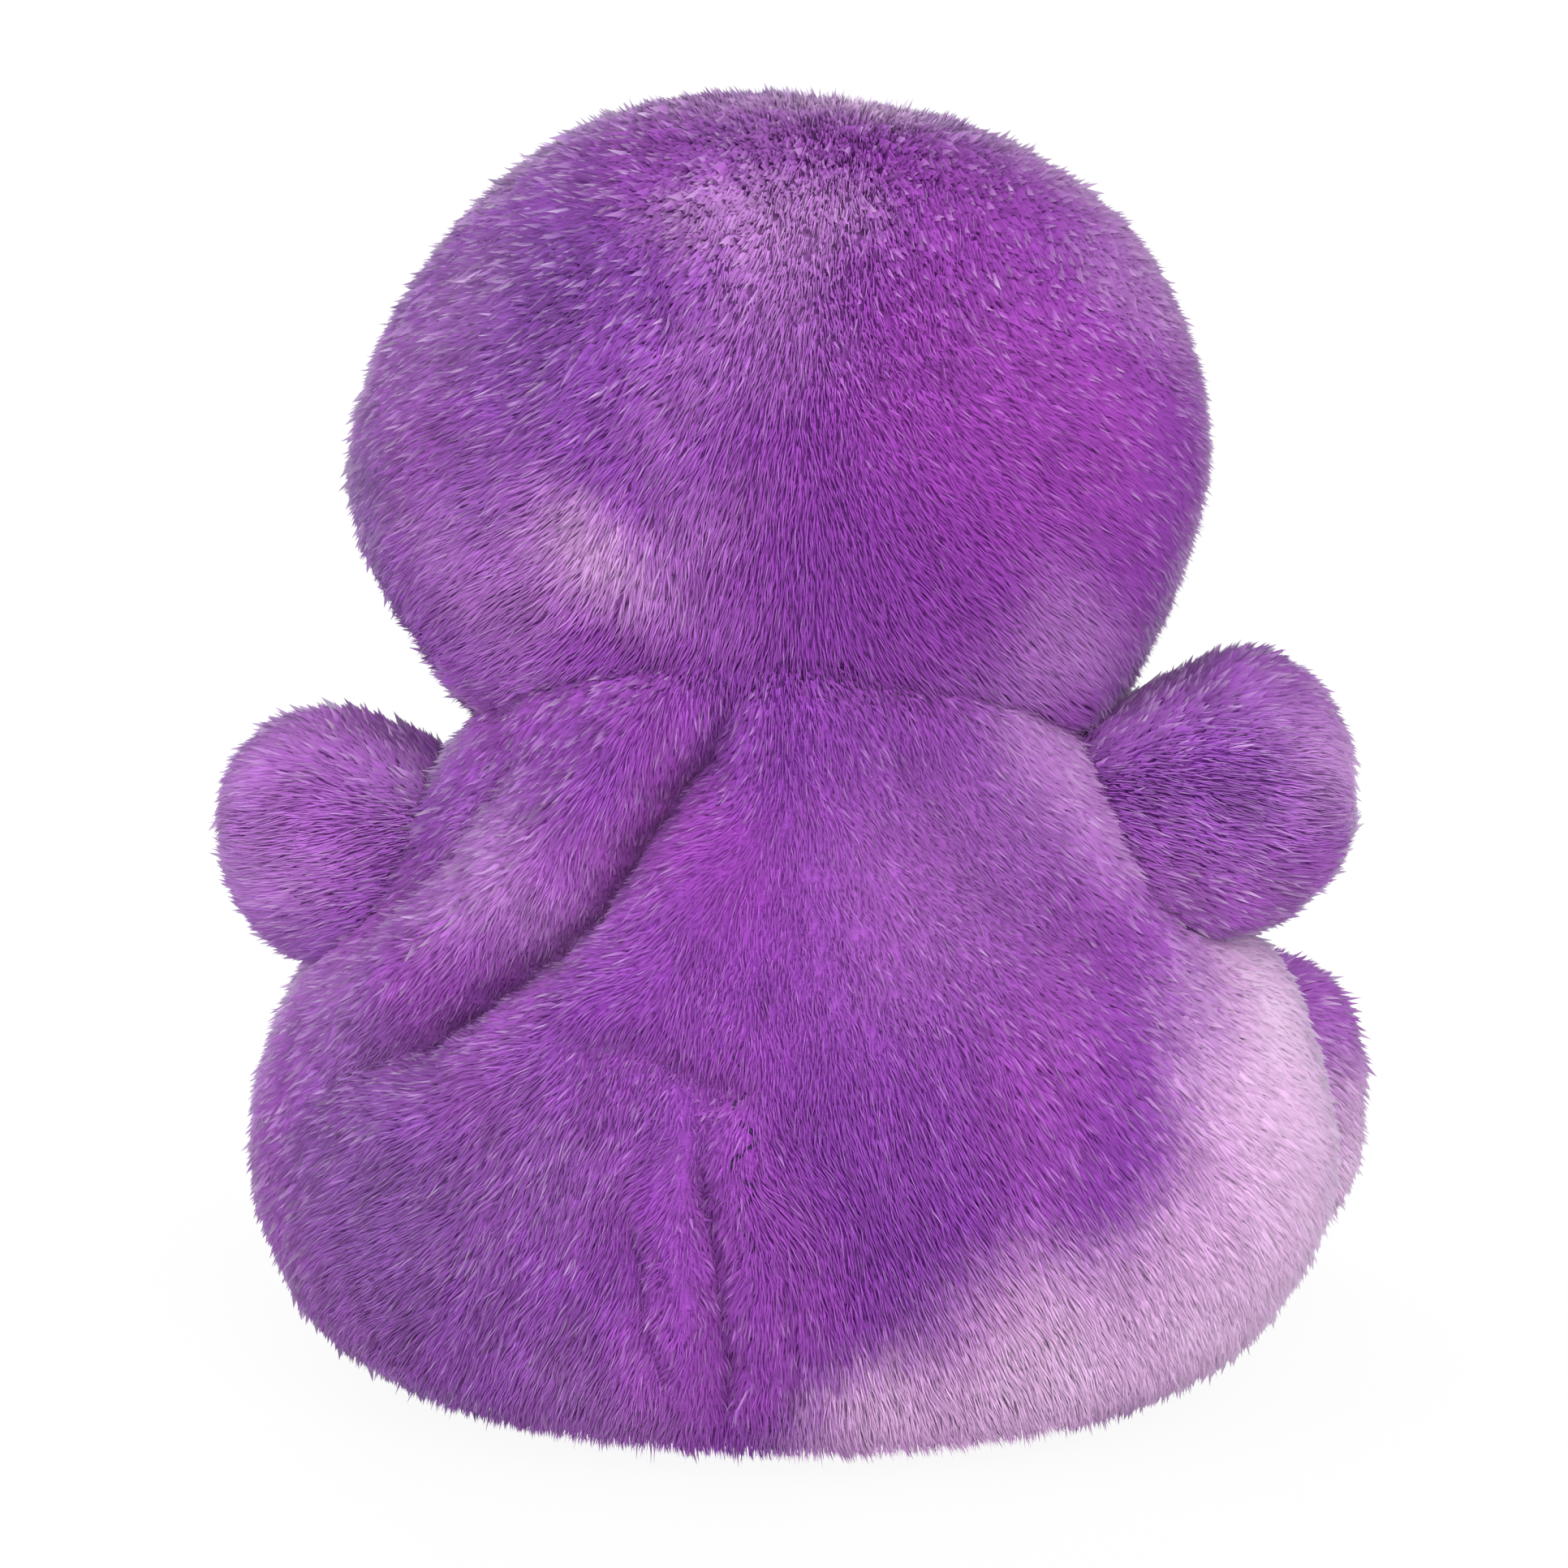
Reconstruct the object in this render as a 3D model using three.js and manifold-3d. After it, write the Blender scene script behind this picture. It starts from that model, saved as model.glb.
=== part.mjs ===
// A palm-size bean-bag plush sugar skull that sits up on its seat, in millimetres.
// +Z is up, the face looks along -Y, and the origin lies on the table under the toy's middle.
// The toy's left side is +X. Its cloth panels are sewn round soft fillings, and its head and limbs
// swing on their seams, so each is a group of its own that turns about its seam.
import * as THREE from 'three';
import { mergeVertices } from 'three/addons/utils/BufferGeometryUtils.js';
import Module from 'manifold-3d';

const wasm = await Module();
wasm.setup();

// Cloth, and the room between pieces that touch
const CLEARANCE = 0.3;
const CLOTH = 3.4; // backing cloth and pile together
const SEAT_CUT = 0.5; // how deep the table flattens the seat

// Torso, a pear that is drawn as rings from the seat to the top of the back
const TORSO_RINGS = [
  { z: -SEAT_CUT, halfWidth: 24, halfDepth: 20 },
  { z: 2, halfWidth: 36.5, halfDepth: 29 },
  { z: 7.5, halfWidth: 45.5, halfDepth: 35.5 },
  { z: 16, halfWidth: 50.8, halfDepth: 38.6 },
  { z: 27, halfWidth: 52, halfDepth: 39 },
  { z: 41, halfWidth: 47, halfDepth: 36.5 },
  { z: 54, halfWidth: 38.5, halfDepth: 31.5 },
  { z: 66, halfWidth: 31, halfDepth: 27.5 },
  { z: 78, halfWidth: 26, halfDepth: 21 },
  { z: 86, halfWidth: 14, halfDepth: 9 },
];
const TORSO_MIDDLE_Y = 7.1; // brings the whole toy's middle over the origin
const HUNCH = 7; // how far the top of the back leans to the rear
const HUNCH_FROM = 27; // height where that lean starts
const SEAT_SEAM_HEIGHT = 9;

// The deep fold of the slack back, from under the head to the left hip
const FOLD_COURSE = [
  { z: 72, x: 3.5 },
  { z: 65, x: 9.4 },
  { z: 55, x: 17 },
  { z: 48, x: 25 },
  { z: 41.5, x: 33.6 },
  { z: 35, x: 43 },
];
const FOLD_RADIUS = 5;
const FOLD_DEPTH = 3.6; // at its middle
const FOLD_STEPS = 10;

// Neck: a round seam on a dome, tipped forward
const NECK_HEIGHT = 65;
const NECK_BACK = -2; // of the torso's middle
const NECK_TIP = 30; // degrees
const NECK_RADIUS = 29;
const DOME_RADIUS = 38;
const NECK_OPENING = 15;
const NECK_SEAM_WIDTH = 1.2;
const NECK_SEAM_FROM = 30; // degrees from the neck's line
const NECK_SEAM_TO = 40;
const NOD_RANGE = 6; // degrees either way

// Head
const HEAD_HALF_WIDTH = 41;
const HEAD_FRONT_DEPTH = 32;
const HEAD_BACK_DEPTH = 34;
const HEAD_HALF_HEIGHT = 36.8;
const HEAD_SINK = 12.5; // how far the head's round form drops past the neck
const HEAD_FORWARD = 6; // from the torso's middle
const HEAD_ROUNDNESS = 2.15; // 2 is an ellipse, more is squarer
const HEAD_TAPER = 0.02; // wider at the crown than at the jaw
const FACE_SEAM = 11; // in front of the head's middle
const HEAD_LEAN = 7; // degrees that the head tips to its right
const TURN_RANGE = 15; // degrees either way about the neck's line

// Eyes: a domed button whose shank is held by a washer behind the face
const EYE_SIDE = 13.5;
const EYE_RISE = 3; // above the head's middle
const EYE_RADIUS = 4.2;
const EYE_HEIGHT = 2.8;
const EYE_RIM = 0.5; // how thick the button is at its edge
const SHANK_RADIUS = 1.4;
const SHANK_LENGTH = 9.2;
const WASHER_RADIUS = 5.5;
const WASHER_WIDTH = 1.6;

// Sewn ornaments on the face
const PATCH = 1; // their thickness
const EYE_RING_RADIUS = 9;
const EYE_RING_LOBE = 1.5;
const EYE_RING_PETALS = 10;
const NOSE_DROP = 8.5; // below the head's middle
const NOSE_SIZE = 4.4;
const MOUTH_DROP = 18;
const MOUTH_HALF_WIDTH = 14;
const MOUTH_SAG = 2.6;
const MOUTH_STITCHED = 12; // half the length that the stitches cross
const THREAD = 0.9; // width of an embroidered line
const STITCHES = 7;
const STITCH_HEIGHT = 4.6;
const FOREHEAD_RISE = 18;
const FLOWER_RADIUS = 5.8;
const FLOWER_LOBE = 1.7;
const FLOWER_PETALS = 6;

// Arms: short mittens, the right one held higher
const ARM_LEFT_HEIGHT = 53.5;
const ARM_RIGHT_HEIGHT = 60;
const ARM_SPAN = 55.3; // from the toy's middle to the mitten's tip
const ARM_HALF_LENGTH = 17;
const ARM_HALF_HEIGHT = 14;
const ARM_HALF_DEPTH = 11.5;
const ARM_TAPER = 0.06;
const ARM_ROUNDNESS = 2.4;
const ARM_LIFT_LEFT = 3; // degrees over level
const ARM_LIFT_RIGHT = 3;
const ARM_RAISE = 10; // degrees of swing
const ARM_LOWER = 16;
const ARM_HEAD_ROOM = 1.6; // over the arm, for the head's fine curve

// Legs: a short stub with a turned-up foot
const LEG_HEIGHT = 14;
const HIP_ANGLE = 46; // degrees round the torso's ring from its side to its front
const LEG_SPLAY = 31; // degrees out from straight ahead
const LEG_REACH = 16; // from the hip seam to the foot's middle
const LEG_ROUNDNESS = 2.2;
const STUB_HALF_LENGTH = 16;
const STUB_HALF_WIDTH = 12;
const STUB_HALF_HEIGHT = 12;
const FOOT_HALF_LENGTH = 11;
const FOOT_HALF_WIDTH = 13.6;
const FOOT_HALF_HEIGHT = 16.3;
const FOOT_TAPER = -0.03; // narrower at the toes
const FOOT_LIFT = 0.5; // above the table
const STUB_LIFT = 1.5; // above the foot's underside
const SOLE_FROM = 6.5; // in front of the foot's middle
const LEG_RAISE = 18; // degrees of swing
const SWING_ROOM = 1; // degrees cut past the end of every swing

// Fillings of the torso
const BAG_HALF_WIDTH = 36;
const BAG_HALF_DEPTH = 26;
const BAG_HALF_HEIGHT = 11;
const BAG_TAPER = -0.04; // narrower at the top
const BAG_ROUNDNESS = 2.6;
const BAG_CLOTH = 0.8;
const BAG_SLIT_LENGTH = 14;
const BAG_SLIT_WIDTH = 1.2;
const PELLET_BUMP = 0.5;

// Closing seam low on the back, with its hand-sewn thread
const CLOSING_FROM = 14;
const CLOSING_TO = 46;
const CLOSING_STITCHES = 13;
const CLOSING_THREAD = 0.35; // radius
const CLOSING_REACH = 1.1; // each side of the seam
const GROOVE_DEPTH = 1.5;

// Fineness of the round forms
const SIDES = 24;
const RINGS = 12;
const INNER_SIDES = 16; // of a panel's hidden side and of a filling
const INNER_RINGS = 9;
const SMALL_SIDES = 12;
const SMALL_RINGS = 8;
const DOME_SIDES = 32;
const DOME_STEPS = 5;
const OPENING_SIDES = 20;
const EYE_SIDES = 14;
const PATCH_SEGMENTS = 5; // of each curve of a patch's outline

const FAR = 300; // reaches past the whole toy
const UP = new THREE.Vector3(0, 0, 1);
const halfGap = CLEARANCE / 2; // on each side of a seam
const radians = THREE.MathUtils.degToRad;

// Solids from geometry, and back

/** A closed solid of a geometry, moved by an optional matrix. */
function solid(geometry, matrix) {
  const moved = geometry.clone();
  if (matrix) moved.applyMatrix4(matrix);
  moved.deleteAttribute('normal');
  moved.deleteAttribute('uv');
  const merged = mergeVertices(moved, 1e-5);
  return new wasm.Manifold(new wasm.Mesh({
    numProp: 3,
    vertProperties: new Float32Array(merged.attributes.position.array),
    triVerts: new Uint32Array(merged.index.array),
  }));
}

/** The geometry of a solid, for a mesh. */
function geometryOf(body) {
  const mesh = body.getMesh();
  const geometry = new THREE.BufferGeometry();
  geometry.setAttribute('position', new THREE.BufferAttribute(new Float32Array(mesh.vertProperties), 3));
  geometry.setIndex(new THREE.BufferAttribute(new Uint32Array(mesh.triVerts), 1));
  geometry.computeVertexNormals();
  return geometry;
}

/** Everything on the far side of a plane, the side that its normal points to. */
function beyond(point, normal) {
  const turn = new THREE.Quaternion().setFromUnitVectors(UP, normal.clone().normalize());
  const middle = point.clone().addScaledVector(normal.clone().normalize(), FAR);
  const matrix = new THREE.Matrix4().compose(middle, turn, new THREE.Vector3(1, 1, 1));
  return solid(new THREE.BoxGeometry(2 * FAR, 2 * FAR, 2 * FAR), matrix);
}

/** Everything between two heights along one axis, such as 'x'. */
function slab(axis, low, high) {
  const size = new THREE.Vector3(2 * FAR, 2 * FAR, 2 * FAR);
  const middle = new THREE.Vector3();
  size[axis] = high - low;
  middle[axis] = (high + low) / 2;
  return solid(new THREE.BoxGeometry(size.x, size.y, size.z), new THREE.Matrix4().setPosition(middle));
}

// Swelling forms

/** A number's power that keeps the number's sign. */
const signedPower = (value, power) => Math.sign(value) * Math.abs(value) ** power;

/**
 * A closed form through rings along +Z. Each ring is a superellipse with its own half width,
 * its own depth to the front (-Y) and to the back (+Y), and a middle that may shift in Y.
 */
function ringForm(rings, sides, roundness, lowEnd, highEnd) {
  const position = [];
  const index = [];
  for (const ring of rings) {
    for (let side = 0; side < sides; side += 1) {
      const angle = 2 * Math.PI * side / sides;
      const across = signedPower(Math.cos(angle), 2 / roundness);
      const along = signedPower(Math.sin(angle), 2 / roundness);
      const depth = along > 0 ? ring.back : ring.front;
      position.push(ring.halfWidth * across, ring.y + depth * along, ring.z);
    }
  }
  const low = position.length / 3;
  position.push(0, rings[0].y, lowEnd);
  position.push(0, rings.at(-1).y, highEnd);
  const last = (rings.length - 1) * sides;
  for (let side = 0; side < sides; side += 1) {
    const next = (side + 1) % sides;
    index.push(low, next, side);
    index.push(low + 1, last + side, last + next);
    for (let ring = 0; ring < rings.length - 1; ring += 1) {
      const here = ring * sides;
      const above = here + sides;
      index.push(here + side, here + next, above + next);
      index.push(here + side, above + next, above + side);
    }
  }
  const geometry = new THREE.BufferGeometry();
  geometry.setAttribute('position', new THREE.Float32BufferAttribute(position, 3));
  geometry.setIndex(index);
  return geometry;
}

/** The sides and rings of a large form: few where its inset hides it behind the cloth. */
const fineness = (inset) => (inset < CLOTH ? [SIDES, RINGS] : [INNER_SIDES, INNER_RINGS]);

/** How wide an egg is at a place from -1 to 1 along it, as a share of its half width. */
function eggShare(place, taper, roundness) {
  return (1 - Math.abs(place) ** roundness) ** (1 / roundness) * (1 + taper * place);
}

/** An egg along +Z round the origin: a superellipsoid that may taper towards its low end. */
function egg(size, inset = 0) {
  const { halfWidth, front, back, halfLength, taper, roundness, sides, rings } = size;
  const list = [];
  for (let ring = 1; ring < rings; ring += 1) {
    const place = -Math.cos(Math.PI * ring / rings);
    const share = eggShare(place, taper, roundness);
    list.push({
      z: place * (halfLength - inset),
      y: 0,
      halfWidth: share * (halfWidth - inset),
      front: share * (front - inset),
      back: share * (back - inset),
    });
  }
  return ringForm(list, sides, roundness, inset - halfLength, halfLength - inset);
}

// Torso

const torsoCurve = new THREE.CatmullRomCurve3(
  TORSO_RINGS.map((ring) => new THREE.Vector3(ring.halfWidth, ring.halfDepth, ring.z)),
  false,
  'catmullrom',
  0.5,
);
const torsoTop = TORSO_RINGS.at(-1).z;

/** The Y of the torso's middle at a height. */
function torsoMiddle(z) {
  const share = Math.max(0, (z - HUNCH_FROM) / (torsoTop - HUNCH_FROM));
  return TORSO_MIDDLE_Y + HUNCH * share ** 2;
}

/** The torso's half width and half depth at a height, found by halving the curve's span. */
function torsoAt(z) {
  let low = 0;
  let high = 1;
  for (let step = 0; step < 40; step += 1) {
    const middle = (low + high) / 2;
    if (torsoCurve.getPoint(middle).z < z) low = middle;
    else high = middle;
  }
  const point = torsoCurve.getPoint(low);
  return { halfWidth: point.x, halfDepth: point.y };
}

/** A point of the torso's surface, round its ring from the side (0) to the front (90 degrees). */
function torsoPoint(z, angle) {
  const { halfWidth, halfDepth } = torsoAt(z);
  const turn = radians(angle);
  return new THREE.Vector3(halfWidth * Math.cos(turn), torsoMiddle(z) - halfDepth * Math.sin(turn), z);
}

/** The way that the torso's surface faces at such a point. */
function torsoNormal(z, angle) {
  const step = 0.5;
  const upward = torsoPoint(z + step, angle).sub(torsoPoint(z - step, angle));
  const round = torsoPoint(z, angle + step).sub(torsoPoint(z, angle - step));
  return upward.cross(round).normalize();
}

const neckMiddle = new THREE.Vector3(0, TORSO_MIDDLE_Y + NECK_BACK, NECK_HEIGHT);
const neckLine = new THREE.Vector3(0, -Math.sin(radians(NECK_TIP)), Math.cos(radians(NECK_TIP)));
const domeRise = Math.sqrt(DOME_RADIUS ** 2 - NECK_RADIUS ** 2);
const neckPivot = neckMiddle.clone().addScaledVector(neckLine, -domeRise);
const alongNeck = new THREE.Matrix4().compose(
  neckPivot,
  new THREE.Quaternion().setFromUnitVectors(new THREE.Vector3(0, 1, 0), neckLine),
  new THREE.Vector3(1, 1, 1),
);

/** All that lies under the neck: a wide block with the dome on it, whose top may rise outwards. */
function underNeck(domeGrowth, ledgeGrowth, rise) {
  const radius = DOME_RADIUS + domeGrowth;
  const ledge = domeRise + ledgeGrowth;
  const slope = radians(rise);
  const edge = Math.acos(ledge * Math.cos(slope) / radius) - slope;
  const profile = [new THREE.Vector2(0, -FAR), new THREE.Vector2(FAR, -FAR)];
  profile.push(new THREE.Vector2(FAR, ledge + FAR * Math.tan(slope)));
  for (let step = DOME_STEPS; step >= 0; step -= 1) {
    const angle = edge * step / DOME_STEPS;
    profile.push(new THREE.Vector2(radius * Math.sin(angle), radius * Math.cos(angle)));
  }
  profile[profile.length - 1].x = 0;
  return solid(new THREE.LatheGeometry(profile, DOME_SIDES), alongNeck);
}

/** The torso's form, drawn in by an inset. A negative inset makes it larger. */
function torsoForm(inset) {
  const rings = [];
  const low = TORSO_RINGS[0].z;
  const squeeze = (torsoTop - low - 2 * inset) / (torsoTop - low);
  const [sides, count] = fineness(inset);
  for (let step = 0; step <= count; step += 1) {
    const point = torsoCurve.getPoint(step / count);
    rings.push({
      z: low + inset + (point.z - low) * squeeze,
      y: torsoMiddle(point.z),
      halfWidth: point.x - inset,
      front: point.y - inset,
      back: point.y - inset,
    });
  }
  const pear = solid(ringForm(rings, sides, 2, rings[0].z, rings.at(-1).z));
  return pear.intersect(underNeck(-inset, -inset, 0));
}

/** The hollow of the back's fold: round beads along its course, which grow towards its middle. */
function backFold(inset) {
  const rise = FOLD_RADIUS - FOLD_DEPTH; // of the beads' middles over the cloth
  const course = new THREE.CatmullRomCurve3(FOLD_COURSE.map(({ z, x }) => {
    const angle = -THREE.MathUtils.radToDeg(Math.acos(x / torsoAt(z).halfWidth));
    return torsoPoint(z, angle).addScaledVector(torsoNormal(z, angle), rise);
  }));
  const beads = [];
  for (let step = 0; step <= FOLD_STEPS; step += 1) {
    const share = step / FOLD_STEPS;
    const radius = rise + FOLD_DEPTH * Math.sqrt(Math.sin(Math.PI * share)) + inset;
    const place = new THREE.Matrix4().setPosition(course.getPointAt(share));
    beads.push(solid(new THREE.IcosahedronGeometry(radius, 1), place));
  }
  return wasm.Manifold.union(beads.slice(1).map((bead, i) => wasm.Manifold.hull([beads[i], bead])));
}

// The neck opening goes through the cloth of the torso and of the head
const neckOpening = solid(
  new THREE.CylinderGeometry(NECK_OPENING, NECK_OPENING, DOME_RADIUS, OPENING_SIDES),
  alongNeck.clone().multiply(new THREE.Matrix4().makeTranslation(0, DOME_RADIUS, 0)),
);
const table = beyond(new THREE.Vector3(0, 0, 0), new THREE.Vector3(0, 0, -1));
const torsoSolid = torsoForm(0).subtract(backFold(0)).subtract(table);
const torsoInside = torsoForm(CLOTH).subtract(backFold(CLOTH));
const torsoCloth = torsoSolid.subtract(torsoInside).subtract(neckOpening);

/** A groove along the closing seam, where its thread lies. */
function closingGroove() {
  const width = CLOSING_REACH + CLOSING_THREAD + CLEARANCE;
  const groove = torsoForm(-GROOVE_DEPTH).subtract(torsoForm(GROOVE_DEPTH));
  return groove
    .intersect(slab('x', -width, width))
    .intersect(slab('z', CLOSING_FROM - width, CLOSING_TO + width))
    .intersect(slab('y', TORSO_MIDDLE_Y, FAR));
}

/** The thread of the closing seam, to and fro across it up the back. */
function closingThread() {
  const points = [];
  const depth = GROOVE_DEPTH - CLOSING_THREAD - CLEARANCE;
  for (let stitch = 0; stitch <= CLOSING_STITCHES; stitch += 1) {
    const z = CLOSING_FROM + (CLOSING_TO - CLOSING_FROM) * stitch / CLOSING_STITCHES;
    const side = stitch % 2 === 0 ? CLOSING_REACH : -CLOSING_REACH;
    points.push(new THREE.Vector3(side, torsoMiddle(z) + torsoAt(z).halfDepth - depth, z));
  }
  const section = new THREE.Shape();
  for (let corner = 0; corner < 6; corner += 1) {
    const angle = Math.PI * corner / 3;
    const place = [CLOSING_THREAD * Math.cos(angle), CLOSING_THREAD * Math.sin(angle)];
    if (corner === 0) section.moveTo(...place);
    else section.lineTo(...place);
  }
  return new THREE.ExtrudeGeometry(section, {
    steps: 3 * CLOSING_STITCHES,
    extrudePath: new THREE.CatmullRomCurve3(points),
  });
}

const seatBand = slab('z', -FAR, SEAT_SEAM_HEIGHT - halfGap);
const overSeat = slab('z', SEAT_SEAM_HEIGHT + halfGap, FAR);
const groove = closingGroove();
const frontHalf = slab('y', -FAR, TORSO_MIDDLE_Y - halfGap);
const backHalf = slab('y', TORSO_MIDDLE_Y + halfGap, FAR).subtract(groove);
const leftHalf = slab('x', halfGap, FAR);
const rightHalf = slab('x', -FAR, -halfGap);

// Fillings

const bagSize = {
  halfWidth: BAG_HALF_WIDTH,
  front: BAG_HALF_DEPTH,
  back: BAG_HALF_DEPTH,
  halfLength: BAG_HALF_HEIGHT,
  taper: BAG_TAPER,
  roundness: BAG_ROUNDNESS,
  sides: INNER_SIDES,
  rings: SMALL_RINGS,
};
const bagMiddle = new THREE.Matrix4().makeTranslation(
  0,
  TORSO_MIDDLE_Y,
  CLOTH - SEAT_CUT + CLEARANCE + BAG_HALF_HEIGHT + CLEARANCE,
);

/** The pellets as they lie in their bag: one heap with a bumpy skin. */
function pelletHeap() {
  const heap = egg(bagSize, BAG_CLOTH + CLEARANCE + PELLET_BUMP);
  const place = heap.attributes.position;
  for (let corner = 0; corner < place.count; corner += 1) {
    const bump = 1 + PELLET_BUMP * (corner % 2 ? 1 : -1) / BAG_HALF_DEPTH;
    place.setXY(corner, place.getX(corner) * bump, place.getY(corner) * bump);
  }
  return heap;
}

const bagSlit = solid(
  new THREE.BoxGeometry(BAG_SLIT_LENGTH, BAG_SLIT_WIDTH, BAG_HALF_HEIGHT),
  bagMiddle.clone().multiply(new THREE.Matrix4().makeTranslation(0, 0, BAG_HALF_HEIGHT)),
);
const bagHollow = solid(egg(bagSize, BAG_CLOTH), bagMiddle);
const bag = solid(egg(bagSize), bagMiddle).subtract(bagHollow).subtract(bagSlit);
const pellets = solid(pelletHeap(), bagMiddle);
// The bag rests on the seat's cloth, so the filling is open under it
const bagRoom = solid(egg(bagSize, -CLEARANCE), bagMiddle);
const underBag = solid(egg(bagSize, -CLEARANCE), bagMiddle.clone().setPosition(0, TORSO_MIDDLE_Y, CLOTH));
const torsoFilling = torsoForm(CLOTH + CLEARANCE)
  .subtract(backFold(CLOTH + CLEARANCE))
  .subtract(bagRoom)
  .subtract(underBag);

// Neck seam: the turned-in edges of both neck openings, sewn together in a ring

function neckSeam() {
  const inner = DOME_RADIUS + CLEARANCE;
  const outer = inner + NECK_SEAM_WIDTH;
  const profile = [];
  const steps = 3;
  for (let step = 0; step <= steps; step += 1) {
    const angle = radians(NECK_SEAM_FROM + (NECK_SEAM_TO - NECK_SEAM_FROM) * step / steps);
    profile.push(new THREE.Vector2(outer * Math.sin(angle), outer * Math.cos(angle)));
  }
  for (let step = steps; step >= 0; step -= 1) {
    const angle = radians(NECK_SEAM_FROM + (NECK_SEAM_TO - NECK_SEAM_FROM) * step / steps);
    profile.push(new THREE.Vector2(inner * Math.sin(angle), inner * Math.cos(angle)));
  }
  profile.push(profile[0].clone());
  profile.reverse();
  return new THREE.LatheGeometry(profile, DOME_SIDES).applyMatrix4(alongNeck);
}

// Head

const headMiddle = new THREE.Vector3(
  0,
  TORSO_MIDDLE_Y - HEAD_FORWARD,
  NECK_HEIGHT + HEAD_HALF_HEIGHT - HEAD_SINK,
);
const headSize = (sides, rings) => ({
  halfWidth: HEAD_HALF_WIDTH,
  front: HEAD_FRONT_DEPTH,
  back: HEAD_BACK_DEPTH,
  halfLength: HEAD_HALF_HEIGHT,
  taper: HEAD_TAPER,
  roundness: HEAD_ROUNDNESS,
  sides,
  rings,
});
const headPlace = new THREE.Matrix4().makeRotationY(-radians(HEAD_LEAN)).setPosition(headMiddle);

/** The head's round form alone, drawn in by an inset. */
const roundHead = (inset) => solid(egg(headSize(...fineness(inset)), inset), headPlace);

/** The head's form, drawn in by an inset from its round surface and from the neck. */
function headForm(inset) {
  const overSeam = 2 * CLEARANCE + NECK_SEAM_WIDTH + inset;
  return roundHead(inset).subtract(underNeck(overSeam, CLEARANCE + inset, NOD_RANGE));
}

/** A point of the face's surface in the head's own frame, sideways and up from its middle. */
function facePoint(side, rise) {
  const place = rise / HEAD_HALF_HEIGHT;
  const share = eggShare(place, HEAD_TAPER, HEAD_ROUNDNESS);
  const across = Math.abs(side) / (share * HEAD_HALF_WIDTH);
  const forward = share * HEAD_FRONT_DEPTH * (1 - across ** HEAD_ROUNDNESS) ** (1 / HEAD_ROUNDNESS);
  return new THREE.Vector3(side, -forward, rise);
}

/** A matrix that stands local +Z out of the face at such a point, with local +Y up the face. */
function faceFrame(side, rise) {
  const step = 0.5;
  const across = facePoint(side + step, rise).sub(facePoint(side - step, rise)).normalize();
  const upward = facePoint(side, rise + step).sub(facePoint(side, rise - step)).normalize();
  const outward = across.clone().cross(upward).normalize();
  const up = outward.clone().cross(across).normalize();
  const local = new THREE.Matrix4().makeBasis(across, up, outward).setPosition(facePoint(side, rise));
  return headPlace.clone().multiply(local);
}

/** A flat shape laid on the face as a patch that follows its curve. */
function facePatch(shapes, frame) {
  const height = HEAD_FRONT_DEPTH;
  let prism = null;
  for (const shape of shapes) {
    const options = { depth: height, bevelEnabled: false, curveSegments: PATCH_SEGMENTS };
    const geometry = new THREE.ExtrudeGeometry(shape, options);
    geometry.translate(0, 0, -height / 2);
    const part = solid(geometry, frame);
    prism = prism ? prism.add(part) : part;
  }
  return roundHead(-CLEARANCE - PATCH).subtract(roundHead(-CLEARANCE)).intersect(prism);
}

/** A flower outline: a circle whose radius swells once for each petal. */
function flowerShape(radius, lobe, petals, hole) {
  const points = [];
  const steps = 4 * petals;
  for (let step = 0; step < steps; step += 1) {
    const angle = 2 * Math.PI * step / steps;
    const reach = radius + lobe * (Math.abs(Math.cos(petals * angle / 2)) - 0.5);
    points.push(new THREE.Vector2(reach * Math.cos(angle), reach * Math.sin(angle)));
  }
  const shape = new THREE.Shape(points);
  if (hole > 0) shape.holes.push(new THREE.Path().absarc(0, 0, hole, 0, 2 * Math.PI, true));
  return shape;
}

/** The nose: a heart that stands on its lobes. */
function noseShape(size) {
  const shape = new THREE.Shape();
  shape.moveTo(0, size);
  shape.bezierCurveTo(0.5 * size, 0.6 * size, 1.1 * size, -0.1 * size, 0.9 * size, -0.6 * size);
  shape.bezierCurveTo(0.75 * size, -1.05 * size, 0.15 * size, -1 * size, 0, -0.5 * size);
  shape.bezierCurveTo(-0.15 * size, -1 * size, -0.75 * size, -1.05 * size, -0.9 * size, -0.6 * size);
  shape.bezierCurveTo(-1.1 * size, -0.1 * size, -0.5 * size, 0.6 * size, 0, size);
  return shape;
}

/** The mouth's outlines: a line that sags in the middle, and the stitches across it. */
function mouthShapes() {
  const line = [];
  const steps = 12;
  const sag = (x) => -MOUTH_SAG * (1 - (x / MOUTH_HALF_WIDTH) ** 2);
  for (let step = 0; step <= steps; step += 1) {
    const x = MOUTH_HALF_WIDTH * (2 * step / steps - 1);
    line.push(new THREE.Vector2(x, sag(x) - THREAD / 2));
  }
  for (let step = steps; step >= 0; step -= 1) {
    const x = MOUTH_HALF_WIDTH * (2 * step / steps - 1);
    line.push(new THREE.Vector2(x, sag(x) + THREAD / 2));
  }
  const shapes = [new THREE.Shape(line)];
  for (let stitch = 0; stitch < STITCHES; stitch += 1) {
    const x = MOUTH_STITCHED * (2 * stitch / (STITCHES - 1) - 1);
    const half = STITCH_HEIGHT / 2;
    const bar = [
      new THREE.Vector2(x - THREAD / 2, sag(x) - half),
      new THREE.Vector2(x + THREAD / 2, sag(x) - half),
      new THREE.Vector2(x + THREAD / 2, sag(x) + half),
      new THREE.Vector2(x - THREAD / 2, sag(x) + half),
    ];
    shapes.push(new THREE.Shape(bar));
  }
  return shapes;
}

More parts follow.
